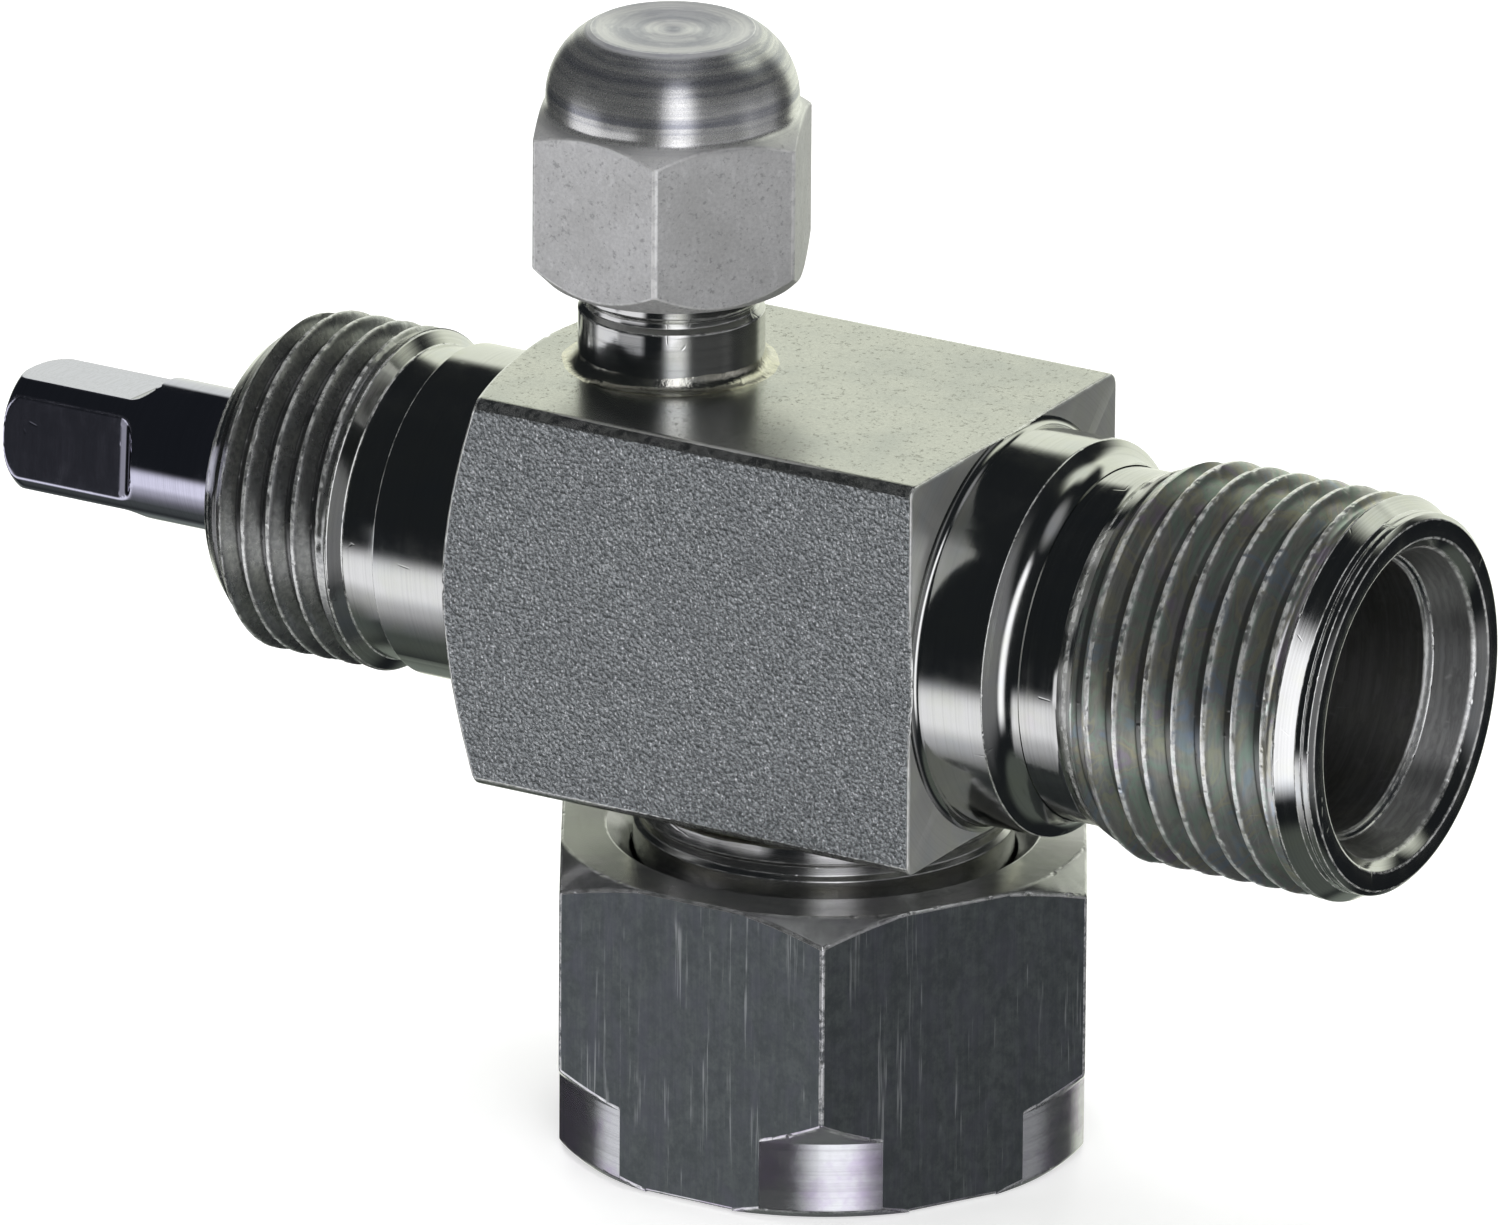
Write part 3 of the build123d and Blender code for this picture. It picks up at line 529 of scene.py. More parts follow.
def metal(name, color, rough, turned=None, turned_at=0.0, line_mm=0.12, line_depth=0.0, grain_mm=0.1,
          grain_depth=0.0, tint=0.5, scratches=0.5, patches=0.3, rub_and_highlight=0.6, zones=(), stretch=0.55):
    """Plated or bare metal with tool marks, slow tints, sparse scratches and bright rubbed edges that also
    carry a painted highlight.

    zones: (from, to, inner radius, outer radius, roughness, darkness, film, scatter) for duller turned parts;
    in a bore or a mouth the darkness is painted shade.
    """
    m = Shader(name)
    scatter = 0.0
    cloud = m.noise(m.place, 160, 3, 0.6)
    cloud2 = m.noise(m.scaled(1.0, 1.3, 0.8), 420, 4, 0.65)
    base = m.mix(m.ramp(cloud, 0.35, 0.7, 0.0, patches), color, shade(color, 0.72))
    red, green, blue = color
    warm = [red * 1.02, green * 1.03, blue * 0.86]
    cold = [red * 0.84, green * 0.92, blue * 1.04]
    violet = [red * 0.98, green * 0.86, blue * 1.06]
    base = m.mix(m.ramp(cloud2, 0.45, 0.75, 0.0, tint), base, warm)
    base = m.mix(m.ramp(m.noise(m.scaled(0.7, 1.0, 1.2), 260, 3), 0.52, 0.78, 0.0, tint), base, cold)
    base = m.mix(m.ramp(m.noise(m.scaled(1.2, 0.8, 0.9), 330, 2), 0.58, 0.8, 0.0, tint * 0.7), base, violet)
    roughness = m.plus(rough, m.ramp(cloud2, 0.3, 0.8, -0.3 * rough, 0.35 * rough))
    if turned:
        along, out = m.around(turned, turned_at)
        lines = m.noise(m.vector(along, out, m.times(cloud, 0.00006)), 1000 / line_mm, 2, 0.65)
        m.bump(lines, line_depth)
        bands = m.noise(m.vector(along, out, 0.0), 1400, 2, 0.5)
        roughness = m.plus(roughness, m.ramp(bands, 0.35, 0.7, -0.18 * rough, 0.3 * rough))
        base = m.mix(m.ramp(lines, 0.35, 0.75, 0.0, 0.28), base, shade(color, 0.6))
        m.lay(turned, stretch)
        for *box, dull, dark, film, loose in zones:
            share = m.zone(along, out, box)
            scatter = m.plus(scatter, m.times(share, loose))
            roughness = m.plus(roughness, m.times(share, m.minus(dull, roughness)))
            mottle = m.noise(m.vector(along, out, m.times(cloud, 0.004)), 2600, 4, 0.7)
            # darker mottle in each zone: painted shade in the bore and the mouth's cone, a darker tone on the
            # thread
            zone_darkening = m.times(share, m.ramp(mottle, 0.35, 0.65, dark - 0.2, dark + 0.2))
            base = m.mix(zone_darkening, base, shade(color, 0.42))
            if film:
                base = iridescence(m, base, m.times(share, film))
    if grain_depth:
        pits = m.noise(m.place, 1000 / grain_mm, 3, 0.6, 0.4)
        m.bump(pits, grain_depth)
        base = m.mix(m.ramp(pits, 0.32, 0.68, 0.45, 0.0), base, shade(color, 0.55))
    if scratches:
        lines_up = m.hairlines(m.scaled(1.0, 1.0, 0.22), 260)
        lines_along = m.hairlines(m.scaled(0.25, 1.0, 1.0), 210)
        rare = m.sparse(m.most(lines_up, lines_along))
        m.bump(m.times(rare, -1.0), 0.010 * scratches)
        base = m.mix(m.times(rare, 0.6 * scratches), base, [min(c * 1.4, 0.95) for c in color])
    # painted shade in the thread roots and the run-out
    base = m.painted_root_shade(base, shade(color, 0.2))
    # bright edges and crests: rubbed metal, and a painted highlight
    edge = m.rubbed_edges_and_highlight(1900, 3, 0.7, 0.38, 0.6, 0.25)
    m.chip(1500, 0.30, 0.03 * rub_and_highlight)
    base = m.mix(m.times(edge, rub_and_highlight), base, [min(c * 1.3 + 0.08, 0.97) for c in color])
    scatter = m.most(scatter, m.times(edge, 0.45 * rub_and_highlight))
    return m.done(base, roughness, m.minus(1.0, scatter))


def plain(name, color, rough, grain_mm, grain_depth):
    """A non-metal with a fine grain and a slow change of tone."""
    m = Shader(name)
    fine = m.noise(m.place, 1000 / grain_mm, 3, 0.6)
    m.bump(fine, grain_depth)
    tone = m.ramp(m.noise(m.place, 300, 3), 0.3, 0.7, 0.0, 0.5)
    base = m.mix(tone, color, shade(color, 0.8))
    return m.done(base, m.ramp(fine, 0.3, 0.7, rough * 0.85, min(rough * 1.15, 1.0)), 0.0)


ZINC = (0.66, 0.665, 0.645)
OUTLET_ZONES = (
    (21.0, 33.9, 9.5, 11.6, 0.28, 0.15, 0.6, 0.08),     # thread
    (3.0, 33.1, 0.0, 7.7, 0.40, 0.3, 0.0, 0.0),         # bore, darkened with painted shade
    (33.3, 35.5, 7.6, 8.6, 0.34, 0.75, 0.0, 0.0),       # cone in the mouth, darkened with painted shade
)
looks = {
    "turned_plate": metal("turned_plate", ZINC, 0.13, "X", line_mm=0.16, line_depth=0.0016, tint=0.4, rub_and_highlight=0.8,
                          stretch=0.4, zones=OUTLET_ZONES),
    "gland_plate": metal("gland_plate", (0.55, 0.55, 0.54), 0.30, "X", line_mm=0.16, line_depth=0.0016,
                         tint=0.4),
    "spud_plate": metal("spud_plate", (0.62, 0.62, 0.61), 0.18, "Z", line_mm=0.22, line_depth=0.003, tint=0.3),
    "port_plate": metal("port_plate", ZINC, 0.13, "Z", PORT_X, line_mm=0.24, line_depth=0.0042, tint=0.3),
    "stem_steel": metal("stem_steel", (0.58, 0.575, 0.69), 0.08, "X", line_mm=0.1, line_depth=0.0001, tint=0.1,
                        scratches=0.2, patches=0.1, rub_and_highlight=0.12, stretch=0.2),
    "spring_steel": metal("spring_steel", (0.45, 0.45, 0.46), 0.30, "X", line_mm=0.1, line_depth=0.001,
                          tint=0.2),
    "braze": metal("braze", (0.84, 0.82, 0.70), 0.20, grain_mm=0.40, grain_depth=0.03, tint=0.5, scratches=0.0),
    "copper": metal("copper", (0.72, 0.43, 0.30), 0.32, grain_mm=0.15, grain_depth=0.001, tint=0.3),
    "fluoroplastic": plain("fluoroplastic", (0.86, 0.86, 0.83), 0.42, 0.2, 0.003),
    "packing": plain("packing", (0.035, 0.035, 0.038), 0.55, 0.3, 0.02),
}

# ---------------------------------------------------------------- valve_body
FILLET_TOP = (11.74, 11.44)
FILLET_FOOT = (12.24, OUTLET_NECK)
seal_cap_blank = straight([(-35.1, 7.4), (-32.7, 9.525), (-26.1, 9.525)])


def body_outline(theta):
    limit, on_corner = reach(theta, *BAR)
    nose = [(-35.1, 6.4, 0.15), (-35.1, 7.4, 0.25)]
    rows = thread(theta, -34.8, -26.1, SEAL_CAP_PITCH, 9.5, seal_cap_blank, fade_end=0.9, phase=0.3, seed=3.0)
    outside = [
        (-26.0, 9.5, 0.12), (-25.4, 8.75, 0.1), (-23.4, 8.75, 0.05), (-23.2, LEFT_NECK, 0.08),
        (BLOCK_LEFT, LEFT_NECK, 0.12), (BLOCK_LEFT, BAR_HALF, 0.0), (-15.4, 16.0, 0.22),
        (BLOCK_RIGHT, 16.0, 0.22), (BLOCK_RIGHT, 11.6, 0.0), (*FILLET_TOP, 0.0),
        *arc(FILLET_TOP, (12.24, 11.44), FILLET_FOOT, 5), (*FILLET_FOOT, 0.0), (14.3, 10.93, 0.0),
        (16.0, OUTLET_NECK, 0.07), (16.2, 10.60, 0.0), (16.42, 10.29, 0.0), (16.65, 10.08, 0.0),
        (16.9, 9.94, 0.0), (17.15, 9.85, 0.0), (17.4, 9.80, 0.0), (17.6, 9.785, 0.0), (17.6, 9.76, 0.0),
    ]
    inside = [
        (16.35, 9.76, 0.0), (16.0, 10.15, 0.0), (13.6, 10.15, 0.0), (13.6, 9.3, 0.0), (7.5, 9.3, 0.0),
        (7.5, 8.2, 0.0), (-6.5, 8.2, 0.1), (-6.5, 6.0, 0.05), (-7.3, 5.2, 0.05), (-8.2, 5.2, 0.05),
        (-8.2, 5.8, 0.0), (-12.6, 5.8, 0.0), (-12.6, 4.82, 0.1), (-24.6, 4.82, 0.1), (-24.6, 5.8, 0.0),
        (-30.0, 5.8, 0.05), (-30.0, 6.4, 0.0),
    ]
    points = with_thread(nose, rows, clipped(outside + inside, limit))
    return marked(points, limit, on_corner, 0.2)


body = build("body_shell", body_outline, corner_directions(216, *BAR))


def tube(name, x, radius, low, high):
    """A closed upright cylinder for cutting holes."""
    work = bmesh.new()
    middle = Matrix.Translation((x * MM, 0, (low + high) / 2 * MM))
    bmesh.ops.create_cone(work, cap_ends=True, segments=96, radius1=radius * MM, radius2=radius * MM,
                          depth=(high - low) * MM, matrix=middle)
    mesh = bpy.data.meshes.new(name)
    work.to_mesh(mesh)
    work.free()
    piece = bpy.data.objects.new(name, mesh)
    bpy.context.scene.collection.objects.link(piece)
    return piece


def cut_holes(piece, holes):
    """Subtract upright cylinders (x, radius, low, high) from a piece for good."""
    cutters = [tube("hole", *hole) for hole in holes]
    for cutter in cutters:
        step = piece.modifiers.new("hole", "BOOLEAN")
        step.operation = "DIFFERENCE"
        step.solver = "EXACT"
        step.object = cutter
    graph = bpy.context.evaluated_depsgraph_get()
    mesh = bpy.data.meshes.new_from_object(piece.evaluated_get(graph))
    piece.modifiers.clear()
    piece.data = mesh
    for cutter in cutters:
        bpy.data.objects.remove(cutter, do_unlink=True)


cut_holes(body, [
    (0.0, 6.0, BLOCK_BOTTOM - 1, AXIS_HEIGHT - 2),
    (0.0, 8.63, BLOCK_BOTTOM - 1, SPUD_SPIGOT_TOP),
    (PORT_X, PORT_HOLE, AXIS_HEIGHT, BLOCK_TOP + 1),
    (PORT_X, 4.03, BLOCK_TOP - PORT_SPIGOT_DEPTH, BLOCK_TOP + 1),
])


def body_material():
    """Blasted bar sides, a satin top, and turned ends with lathe lines, told apart by place and direction."""
    m = Shader("valve_body_plate")
    along, out = m.around("X")
    turn = m.add("VectorTransform", vector_type="NORMAL", convert_from="WORLD", convert_to="OBJECT")
    m.put(turn.inputs[0], m.add("NewGeometry").outputs["True Normal"])
    _, facing_y, facing_z = m.parts(turn.outputs[0])
    block = m.times(m.after(along, BLOCK_LEFT - 0.1, BLOCK_LEFT + 0.2),
                    m.until(along, BLOCK_RIGHT - 0.05, BLOCK_RIGHT + 0.2))
    side = m.times(block, m.ramp(m.math("ABSOLUTE", facing_y), 0.93, 0.99))
    flat = m.times(block, m.ramp(m.math("ABSOLUTE", facing_z), 0.93, 0.99))
    turned = m.minus(1.0, m.most(side, flat))
    threads = m.zone(along, out, (-34.6, -26.1, 8.2, 10.0))
    shoulder = m.zone(along, out, (11.6, 11.95, 11.45, 17.0), 0.05)
    cloud = m.noise(m.place, 180, 4, 0.6)
    cloud2 = m.noise(m.scaled(1.0, 1.2, 0.8), 420, 4, 0.65)
    # turned ends: mirror-like necks with fine lines and slow tints
    lines = m.noise(m.vector(along, out, m.times(cloud, 0.00008)), 6500, 2, 0.65)
    m.bump(m.times(lines, turned), 0.0017)
    base = m.mix(m.ramp(cloud2, 0.4, 0.75, 0.0, 0.35), ZINC, (0.66, 0.69, 0.55))
    blue = m.ramp(m.noise(m.scaled(0.8, 1.0, 1.3), 300, 3), 0.52, 0.8, 0.0, 0.4)
    base = m.mix(blue, base, (0.54, 0.60, 0.66))
    base = m.mix(m.times(m.ramp(lines, 0.4, 0.75, 0.0, 0.25), turned), base, (0.42, 0.42, 0.41))
    # blasted sides: a coarse grain of overlapping dimples with finer grain in it
    coarse = m.noise(m.place, 5200, 2, 0.55, 0.3)
    dimples = m.cells(m.place, 4700)
    fine = m.noise(m.place, 12000, 2, 0.6)
    m.bump(m.times(m.plus(m.plus(coarse, dimples), m.times(fine, 0.35)), side), 0.056)
    blasted = m.mix(m.ramp(coarse, 0.32, 0.66), (0.165, 0.180, 0.184), (0.410, 0.432, 0.436))
    blasted = m.mix(m.ramp(cloud, 0.3, 0.7, 0.0, 0.30), blasted, (0.22, 0.23, 0.24))
    # painted glints: bright specks in place of sparkle off the blasted grain
    painted_glints = m.ramp(m.noise(m.scaled(1.0, 1.0, 0.7), 7000, 1, 0.5), 0.60, 0.74)
    blasted = m.mix(m.times(painted_glints, 0.55), blasted, (0.88, 0.89, 0.90))
    base = m.mix(side, base, blasted)
    # satin top and bottom: rolled skin with fine dark pits
    pits = m.ramp(m.noise(m.place, 3400, 3, 0.7), 0.57, 0.66)
    m.bump(m.times(m.minus(m.noise(m.place, 9000, 2), pits), flat), 0.0022)
    top = m.mix(m.ramp(cloud, 0.35, 0.7), (0.70, 0.705, 0.665), (0.585, 0.60, 0.58))
    top = m.mix(m.ramp(m.noise(m.place, 7500, 3, 0.7), 0.35, 0.65, 0.35, 0.0), top, (0.42, 0.42, 0.38))
    top = m.mix(m.times(pits, 0.75), top, (0.26, 0.26, 0.23))
    base = m.mix(flat, base, top)
    # seal-cap thread: dull and darker, with painted shade in the roots
    mottle = m.ramp(m.noise(m.place, 3200, 4, 0.7), 0.35, 0.65, 0.1, 0.6)
    base = m.mix(m.times(threads, mottle), base, (0.26, 0.27, 0.27))
    base = m.painted_root_shade(base, (0.12, 0.12, 0.12))
    rough = m.plus(m.ramp(cloud2, 0.3, 0.75, 0.09, 0.17), m.times(threads, 0.15))
    rough = m.plus(rough, m.times(shoulder, 0.28))
    rough = m.plus(m.times(rough, turned), m.times(side, 0.27))
    rough = m.plus(rough, m.times(flat, 0.27))
    m.lay("X", m.times(turned, 0.5))
    # bright edges and thread crests: rubbed metal, and a painted highlight
    edge = m.rubbed_edges_and_highlight(1900, 3, 0.7, 0.38, 0.6, 0.2)
    m.chip(1500, 0.30, 0.02)
    base = m.mix(m.times(edge, 0.6), base, (0.86, 0.87, 0.85))
    rare = m.sparse(m.hairlines(m.scaled(0.3, 1.0, 1.0), 230))
    m.bump(m.times(rare, -1.0), 0.006)
    scatter = m.most(m.times(side, 0.2), m.times(edge, 0.4))
    scatter = m.most(scatter, m.times(threads, 0.04))
    scatter = m.most(scatter, m.times(shoulder, 0.22))
    return m.done(base, rough, m.minus(1.0, scatter))


finish_piece(body, body_material(), "housing", "valve_body")

# ---------------------------------------------------------------- outlet_connector
outlet_blank = straight([(19.9, 9.75), (22.9, 11.1), (33.95, 11.1)])


def outlet_outline(theta):
    seat_nose = [
        (3.2, 6.0, 0.05), (3.2, 7.2, 0.1), (8.1, 7.2, 0.0), (8.1, 9.27, 0.05), (13.6, 9.27, 0.0),
        (13.6, 10.12, 0.05), (15.97, 10.12, 0.05), (16.34, 9.73, 0.0), (18.0, 9.73, 0.0), (19.6, 9.75, 0.0),
    ]
    rows = thread(theta, 19.9, 33.95, OUTLET_PITCH, 11.08, outlet_blank, fade_start=0.7, fade_end=1.1,
                  phase=0.12, seed=7.0)
    mouth = [
        (34.0, 11.1, 0.06), (34.95, 10.45, 0.05), (35.28, 10.45, 0.03), (35.36, 10.37, 0.02),
        (35.44, 10.45, 0.03), (35.74, 10.44, 0.05), (36.0, 10.15, 0.08), (36.0, 9.1, 0.12), (35.4, 8.5, 0.2),
        (33.25, 7.86, 0.1), (33.1, 7.6, 0.1), (32.95, OUTLET_BORE, 0.1), (10.0, OUTLET_BORE, 0.0),
        (8.5, 6.0, 0.0), (4.6, 6.0, 0.0), (4.6, 5.2, 0.0), (4.0, 5.2, 0.0),
    ]
    return with_thread(seat_nose, rows, mouth)


outlet = build("outlet_screw", outlet_outline, directions(240))
finish_piece(outlet, looks["turned_plate"], "housing", "outlet_connector")

# ---------------------------------------------------------------- union_nut
nut_bore = straight([(0.0, 12.75), (1.0, NUT_THREAD_RADIUS), (NUT_THREAD_TOP, NUT_THREAD_RADIUS)])


def nut_outline(theta):
    limit, on_corner = reach(theta, *NUT_HEXAGON)
    foot, notch = NUT_NOTCH_RADII
    outside = [
        (0.0, 12.9, 0.1), (0.0, foot, 0.0), (0.4, notch, 0.12), (4.35, notch, 0.0), (4.6, 15.2, 0.0),
        (6.4, 17.0, 0.2), (16.015, 17.0, 0.2), (NUT_HEIGHT, 14.6, 0.18), (NUT_HEIGHT, 11.9, 0.12),
        (16.05, 10.55, 0.12), (12.7, 10.55, 0.08), (12.7, 12.6, 0.0), (8.9, 12.6, 0.0), (8.45, 12.2, 0.0),
    ]
    rows = thread(theta, 0.05, NUT_THREAD_TOP, OUTLET_PITCH, NUT_THREAD_RADIUS, nut_bore, fade_end=0.6,
                  phase=0.5, inner=True)
    return marked(rounded(clipped(outside, limit)) + rows[::-1], limit, on_corner)


nut_columns = corner_directions(216, *NUT_HEXAGON, NUT_NOTCH_RADII)
nut = build("swivel_nut", nut_outline, nut_columns, "Z", polygon=NUT_HEXAGON)


def nut_material():
    """Dark drawn flats with bright vertical scores, and machined foot, crown and bore."""
    m = Shader("union_nut_plate")
    along, out = m.around("Z")
    x, y, z = m.parts(m.place)
    flat = m.ramp(m.mark("flat"), 0.90, 0.99)
    machined = m.minus(1.0, flat)
    crown = m.after(along, 15.0, 15.6)
    cloud = m.noise(m.place, 260, 4, 0.65)
    mottle = m.noise(m.scaled(1.0, 1.0, 0.8), 1500, 5, 0.72)
    grime = m.noise(m.scaled(1.0, 1.0, 0.5), 620, 4, 0.65, 0.5)
    dark = m.mix(m.ramp(mottle, 0.32, 0.72), (0.105, 0.119, 0.121), (0.175, 0.195, 0.195))
    dark = m.mix(m.ramp(grime, 0.42, 0.70, 0.0, 0.6), dark, (0.15, 0.155, 0.185))
    streak = m.noise(m.vector(x, y, m.times(z, 0.03)), 3000, 3, 0.75)
    gate = m.ramp(m.noise(m.scaled(1.0, 1.0, 0.3), 420, 3, 0.6), 0.47, 0.58)
    scores = m.times(m.ramp(streak, 0.56, 0.68), gate)
    dark = m.mix(m.ramp(streak, 0.35, 0.55, 0.35, 0.0), dark, (0.10, 0.11, 0.12))
    dark = m.mix(m.times(scores, 0.6), dark, (0.58, 0.60, 0.60))
    lines = m.noise(m.vector(along, out, m.times(cloud, 0.00008)), 4800, 2, 0.65)
    bright = m.mix(m.ramp(cloud, 0.40, 0.62), (0.60, 0.61, 0.62), (0.50, 0.45, 0.56))
    bright = m.mix(m.ramp(lines, 0.40, 0.72, 0.0, 0.4), bright, (0.36, 0.36, 0.37))
    # painted shade: the crown is made darker
    bright = m.mix(m.times(crown, 0.75), bright, (0.44, 0.45, 0.43))
    base = m.mix(flat, bright, dark)
    m.bump(m.times(lines, machined), 0.0018)
    m.bump(m.times(streak, flat), 0.007)
    m.bump(m.times(mottle, flat), 0.008)
    rough = m.plus(m.times(flat, 0.22), m.ramp(mottle, 0.3, 0.7, 0.12, 0.22))
    rough = m.plus(rough, m.times(crown, m.times(machined, 0.05)))
    m.lay("Z", m.times(machined, 0.5))
    # bright hex corners: rubbed metal, and a painted highlight
    edge = m.rubbed_edges_and_highlight(1400, 4, 0.75, 0.40, 0.56, 0.15)
    m.chip(1100, 0.35, 0.06)
    base = m.mix(m.times(edge, 0.75), base, (0.88, 0.88, 0.88))
    return m.done(base, rough, m.minus(0.9, m.times(edge, 0.1)))


finish_piece(nut, nut_material(), "nut", "union_nut")


# ---------------------------------------------------------------- compressor_spud
def spud_outline(theta):
    return rounded([
        (9.4, 6.5, 0.15), (9.4, 11.25, 0.0), (9.65, 11.5, 0.1), (12.6, 11.5, 0.1), (12.6, SPUD_RADIUS, 0.1),
        (17.8, SPUD_RADIUS, 0.05), (18.05, 10.15, 0.05), (18.55, 10.15, 0.05), (18.8, SPUD_RADIUS, 0.08),
        (BLOCK_BOTTOM, SPUD_RADIUS, 0.0), (BLOCK_BOTTOM, 8.6, 0.0), (SPUD_SPIGOT_TOP, 8.6, 0.1),
        (SPUD_SPIGOT_TOP, 6.5, 0.1),
    ])


spud = build("spud", spud_outline, directions(192), "Z")
finish_piece(spud, looks["spud_plate"], "housing", "compressor_spud")

# ---------------------------------------------------------------- service_port_fitting
flare_blank = straight([(47.9, PORT_NECK), (48.5, 5.5), (55.1, 5.5)])


def fitting_outline(theta):
    foot = BLOCK_TOP - PORT_SPIGOT_DEPTH
    neck = [
        (foot, PORT_HOLE, 0.0), (foot, 4.0, 0.15), (BLOCK_TOP, 4.0, 0.0), (BLOCK_TOP, PORT_NECK, 0.0),
        (45.4, PORT_NECK, 0.08), (45.7, 4.8, 0.05), (46.0, 4.8, 0.05), (46.3, PORT_NECK, 0.08),
    ]
    rows = thread(theta, 48.0, 55.1, FLARE_PITCH, 5.5, flare_blank, fade_start=0.8, fade_end=0.4, seed=11.0)
    flare = [(55.15, 5.5, 0.05), (55.7, 5.1, 0.08), (57.9, 2.9, 0.12), (57.9, PORT_HOLE, 0.1)]
    return with_thread(neck, rows, flare)


fitting = build("flare_fitting", fitting_outline, directions(160), "Z", PORT_X)
finish_piece(fitting, looks["port_plate"], "housing", "service_port_fitting")


# ---------------------------------------------------------------- braze fillets
def fillet_outline(inner, base_z, leg, up, seed):
    """A hollow fillet whose toe wanders a little, above (up 1) or below (up -1) a flat face."""
    def outline(theta):
        c, s = math.cos(theta) * inner, math.sin(theta) * inner
        wander = 1 + 0.22 * noise.noise(Vector((c * 0.5 + seed, s * 0.5, 0.0)))
        wander += 0.08 * noise.noise(Vector((c * 2 + seed, s * 2, 4.0)))
        foot, rise = leg * wander, leg * (1.9 - wander)
        steps = 6
        points = [(base_z, inner, 0.0)]
        for k in range(steps + 1):
            t = k / steps
            drop = (1 - t) ** 2
            points.append((base_z + up * rise * drop, inner + foot * (1 - drop) * t, 0.0))
        return points
    return outline


port_fillet = fillet_outline(PORT_NECK, BLOCK_TOP, 0.82, 1, 5.0)
port_braze = build("port_fillet", port_fillet, directions(128), "Z", PORT_X)
finish_piece(port_braze, looks["braze"], "housing", "port_braze_ring")
spud_fillet = fillet_outline(SPUD_RADIUS, BLOCK_BOTTOM, 0.42, -1, 9.0)
spud_braze = build("spud_fillet", spud_fillet, directions(160), "Z")
finish_piece(spud_braze, looks["braze"], "housing", "spud_braze_ring")

# ---------------------------------------------------------------- port_cap
DOME_FOOT = (56.85, 6.86)
DOME_RIM = (CAP_TOP, 4.45)
DOME_CENTRE = (57.41, 2.585)


def cap_outline(theta):
    limit, on_corner = reach(theta, *CAP_HEXAGON)
    points = [
        (CAP_BOTTOM, 5.62, 0.1), (CAP_BOTTOM, 6.9, 0.1), (49.15, 8.75, 0.12), (55.53, 8.75, 0.12),
        (*DOME_FOOT, 0.4), *arc(DOME_FOOT, DOME_CENTRE, DOME_RIM, 12), (*DOME_RIM, 0.04), (CAP_TOP, 4.2, 0.0),
        (61.24, 4.05, 0.0), (61.24, 3.3, 0.0), (61.21, 3.2, 0.0), (61.23, 1.0, 0.0), (61.17, 0.6, 0.0),
        (61.23, 0.0, 0.0), (59.45, 0.0, 0.0), (59.45, 2.1, 0.1), (55.93, 5.62, 0.0),
    ]
    return marked(rounded(clipped(points, limit)), limit, on_corner)


cap = build("flare_cap", cap_outline, corner_directions(192, *CAP_HEXAGON), "Z", PORT_X)


def cap_material():
    """Satin flats, a smoother turned dome and rings on the flat top."""
    m = Shader("port_cap_plate")
    along, out = m.around("Z", PORT_X)
    dome = m.after(along, 56.0, 57.0)
    top = m.after(along, 61.05, 61.18)
    cloud = m.noise(m.place, 260, 4, 0.6)
    smear = m.noise(m.vector(m.times(out, 0.3), along, m.times(cloud, 0.0006)), 1300, 4, 0.7)
    rings = m.noise(m.vector(out, along, m.times(cloud, 0.0001)), 5200, 2, 0.6)
    fine = m.noise(m.place, 11000, 3, 0.65)
    m.bump(fine, 0.0016)
    m.bump(m.times(rings, dome), 0.003)
    m.bump(m.times(rings, top), 0.013)
    base = m.mix(m.ramp(cloud, 0.3, 0.7), (0.67, 0.67, 0.67), (0.57, 0.57, 0.565))
    specks = m.ramp(m.noise(m.place, 3000, 3, 0.7), 0.56, 0.68)
    base = m.mix(m.times(specks, 0.6), base, (0.26, 0.26, 0.27))
    base = m.mix(m.ramp(m.noise(m.place, 5200, 3, 0.7), 0.35, 0.65, 0.25, 0.0), base, (0.30, 0.30, 0.31))
    pale = m.ramp(m.noise(m.scaled(1.0, 1.0, 0.7), 1500, 3, 0.7), 0.60, 0.70)
    base = m.mix(m.times(pale, 0.35), base, (0.80, 0.80, 0.80))
    polished = m.mix(m.ramp(smear, 0.35, 0.65, 0.0, 0.85), (0.78, 0.78, 0.76), (0.30, 0.31, 0.36))
    base = m.mix(dome, base, polished)
    # bright hex corners: rubbed metal, and a painted highlight
    edge = m.rubbed_edges_and_highlight(1700, 3, 0.7, 0.36, 0.58, 0.3)
    base = m.mix(m.times(edge, 0.9), base, (0.90, 0.90, 0.89))
    rough = m.minus(m.ramp(fine, 0.3, 0.7, 0.42, 0.54), m.times(dome, 0.20))
    rough = m.plus(rough, m.times(top, 0.14))
    metallic = m.plus(0.55, m.times(m.minus(dome, top), 0.33))
    m.lay("Z", m.times(dome, 0.6))
    nicks = m.ramp(m.cells(m.place, 420), 0.03, 0.09, 1.0, 0.0)
    m.bump(m.times(m.times(nicks, m.ramp(cloud, 0.5, 0.6)), -1.0), 0.04)
    return m.done(base, rough, metallic)


finish_piece(cap, cap_material(), "cap", "port_cap")

# ---------------------------------------------------------------- valve_stem
SQUARE_TURN = math.radians(3.5)
SQUARE_END = -43.1
RUNOUT_RADIUS = 1.3
RUNOUT_END = SQUARE_END + 1.2
EDGE_WIDTH = 0.07
screw_blank = straight([(-24.4, 3.98), (-23.6, STEM_THREAD), (-13.9, STEM_THREAD), (-13.1, 3.98)])


def flat_depth(s):
    """Distance of the square's flats from the axis, which rises where the cutter runs out."""
    if s <= SQUARE_END:
        return SQUARE_FLAT
    return SQUARE_FLAT + RUNOUT_RADIUS - math.sqrt(max(RUNOUT_RADIUS ** 2 - (s - SQUARE_END) ** 2, 0.0))


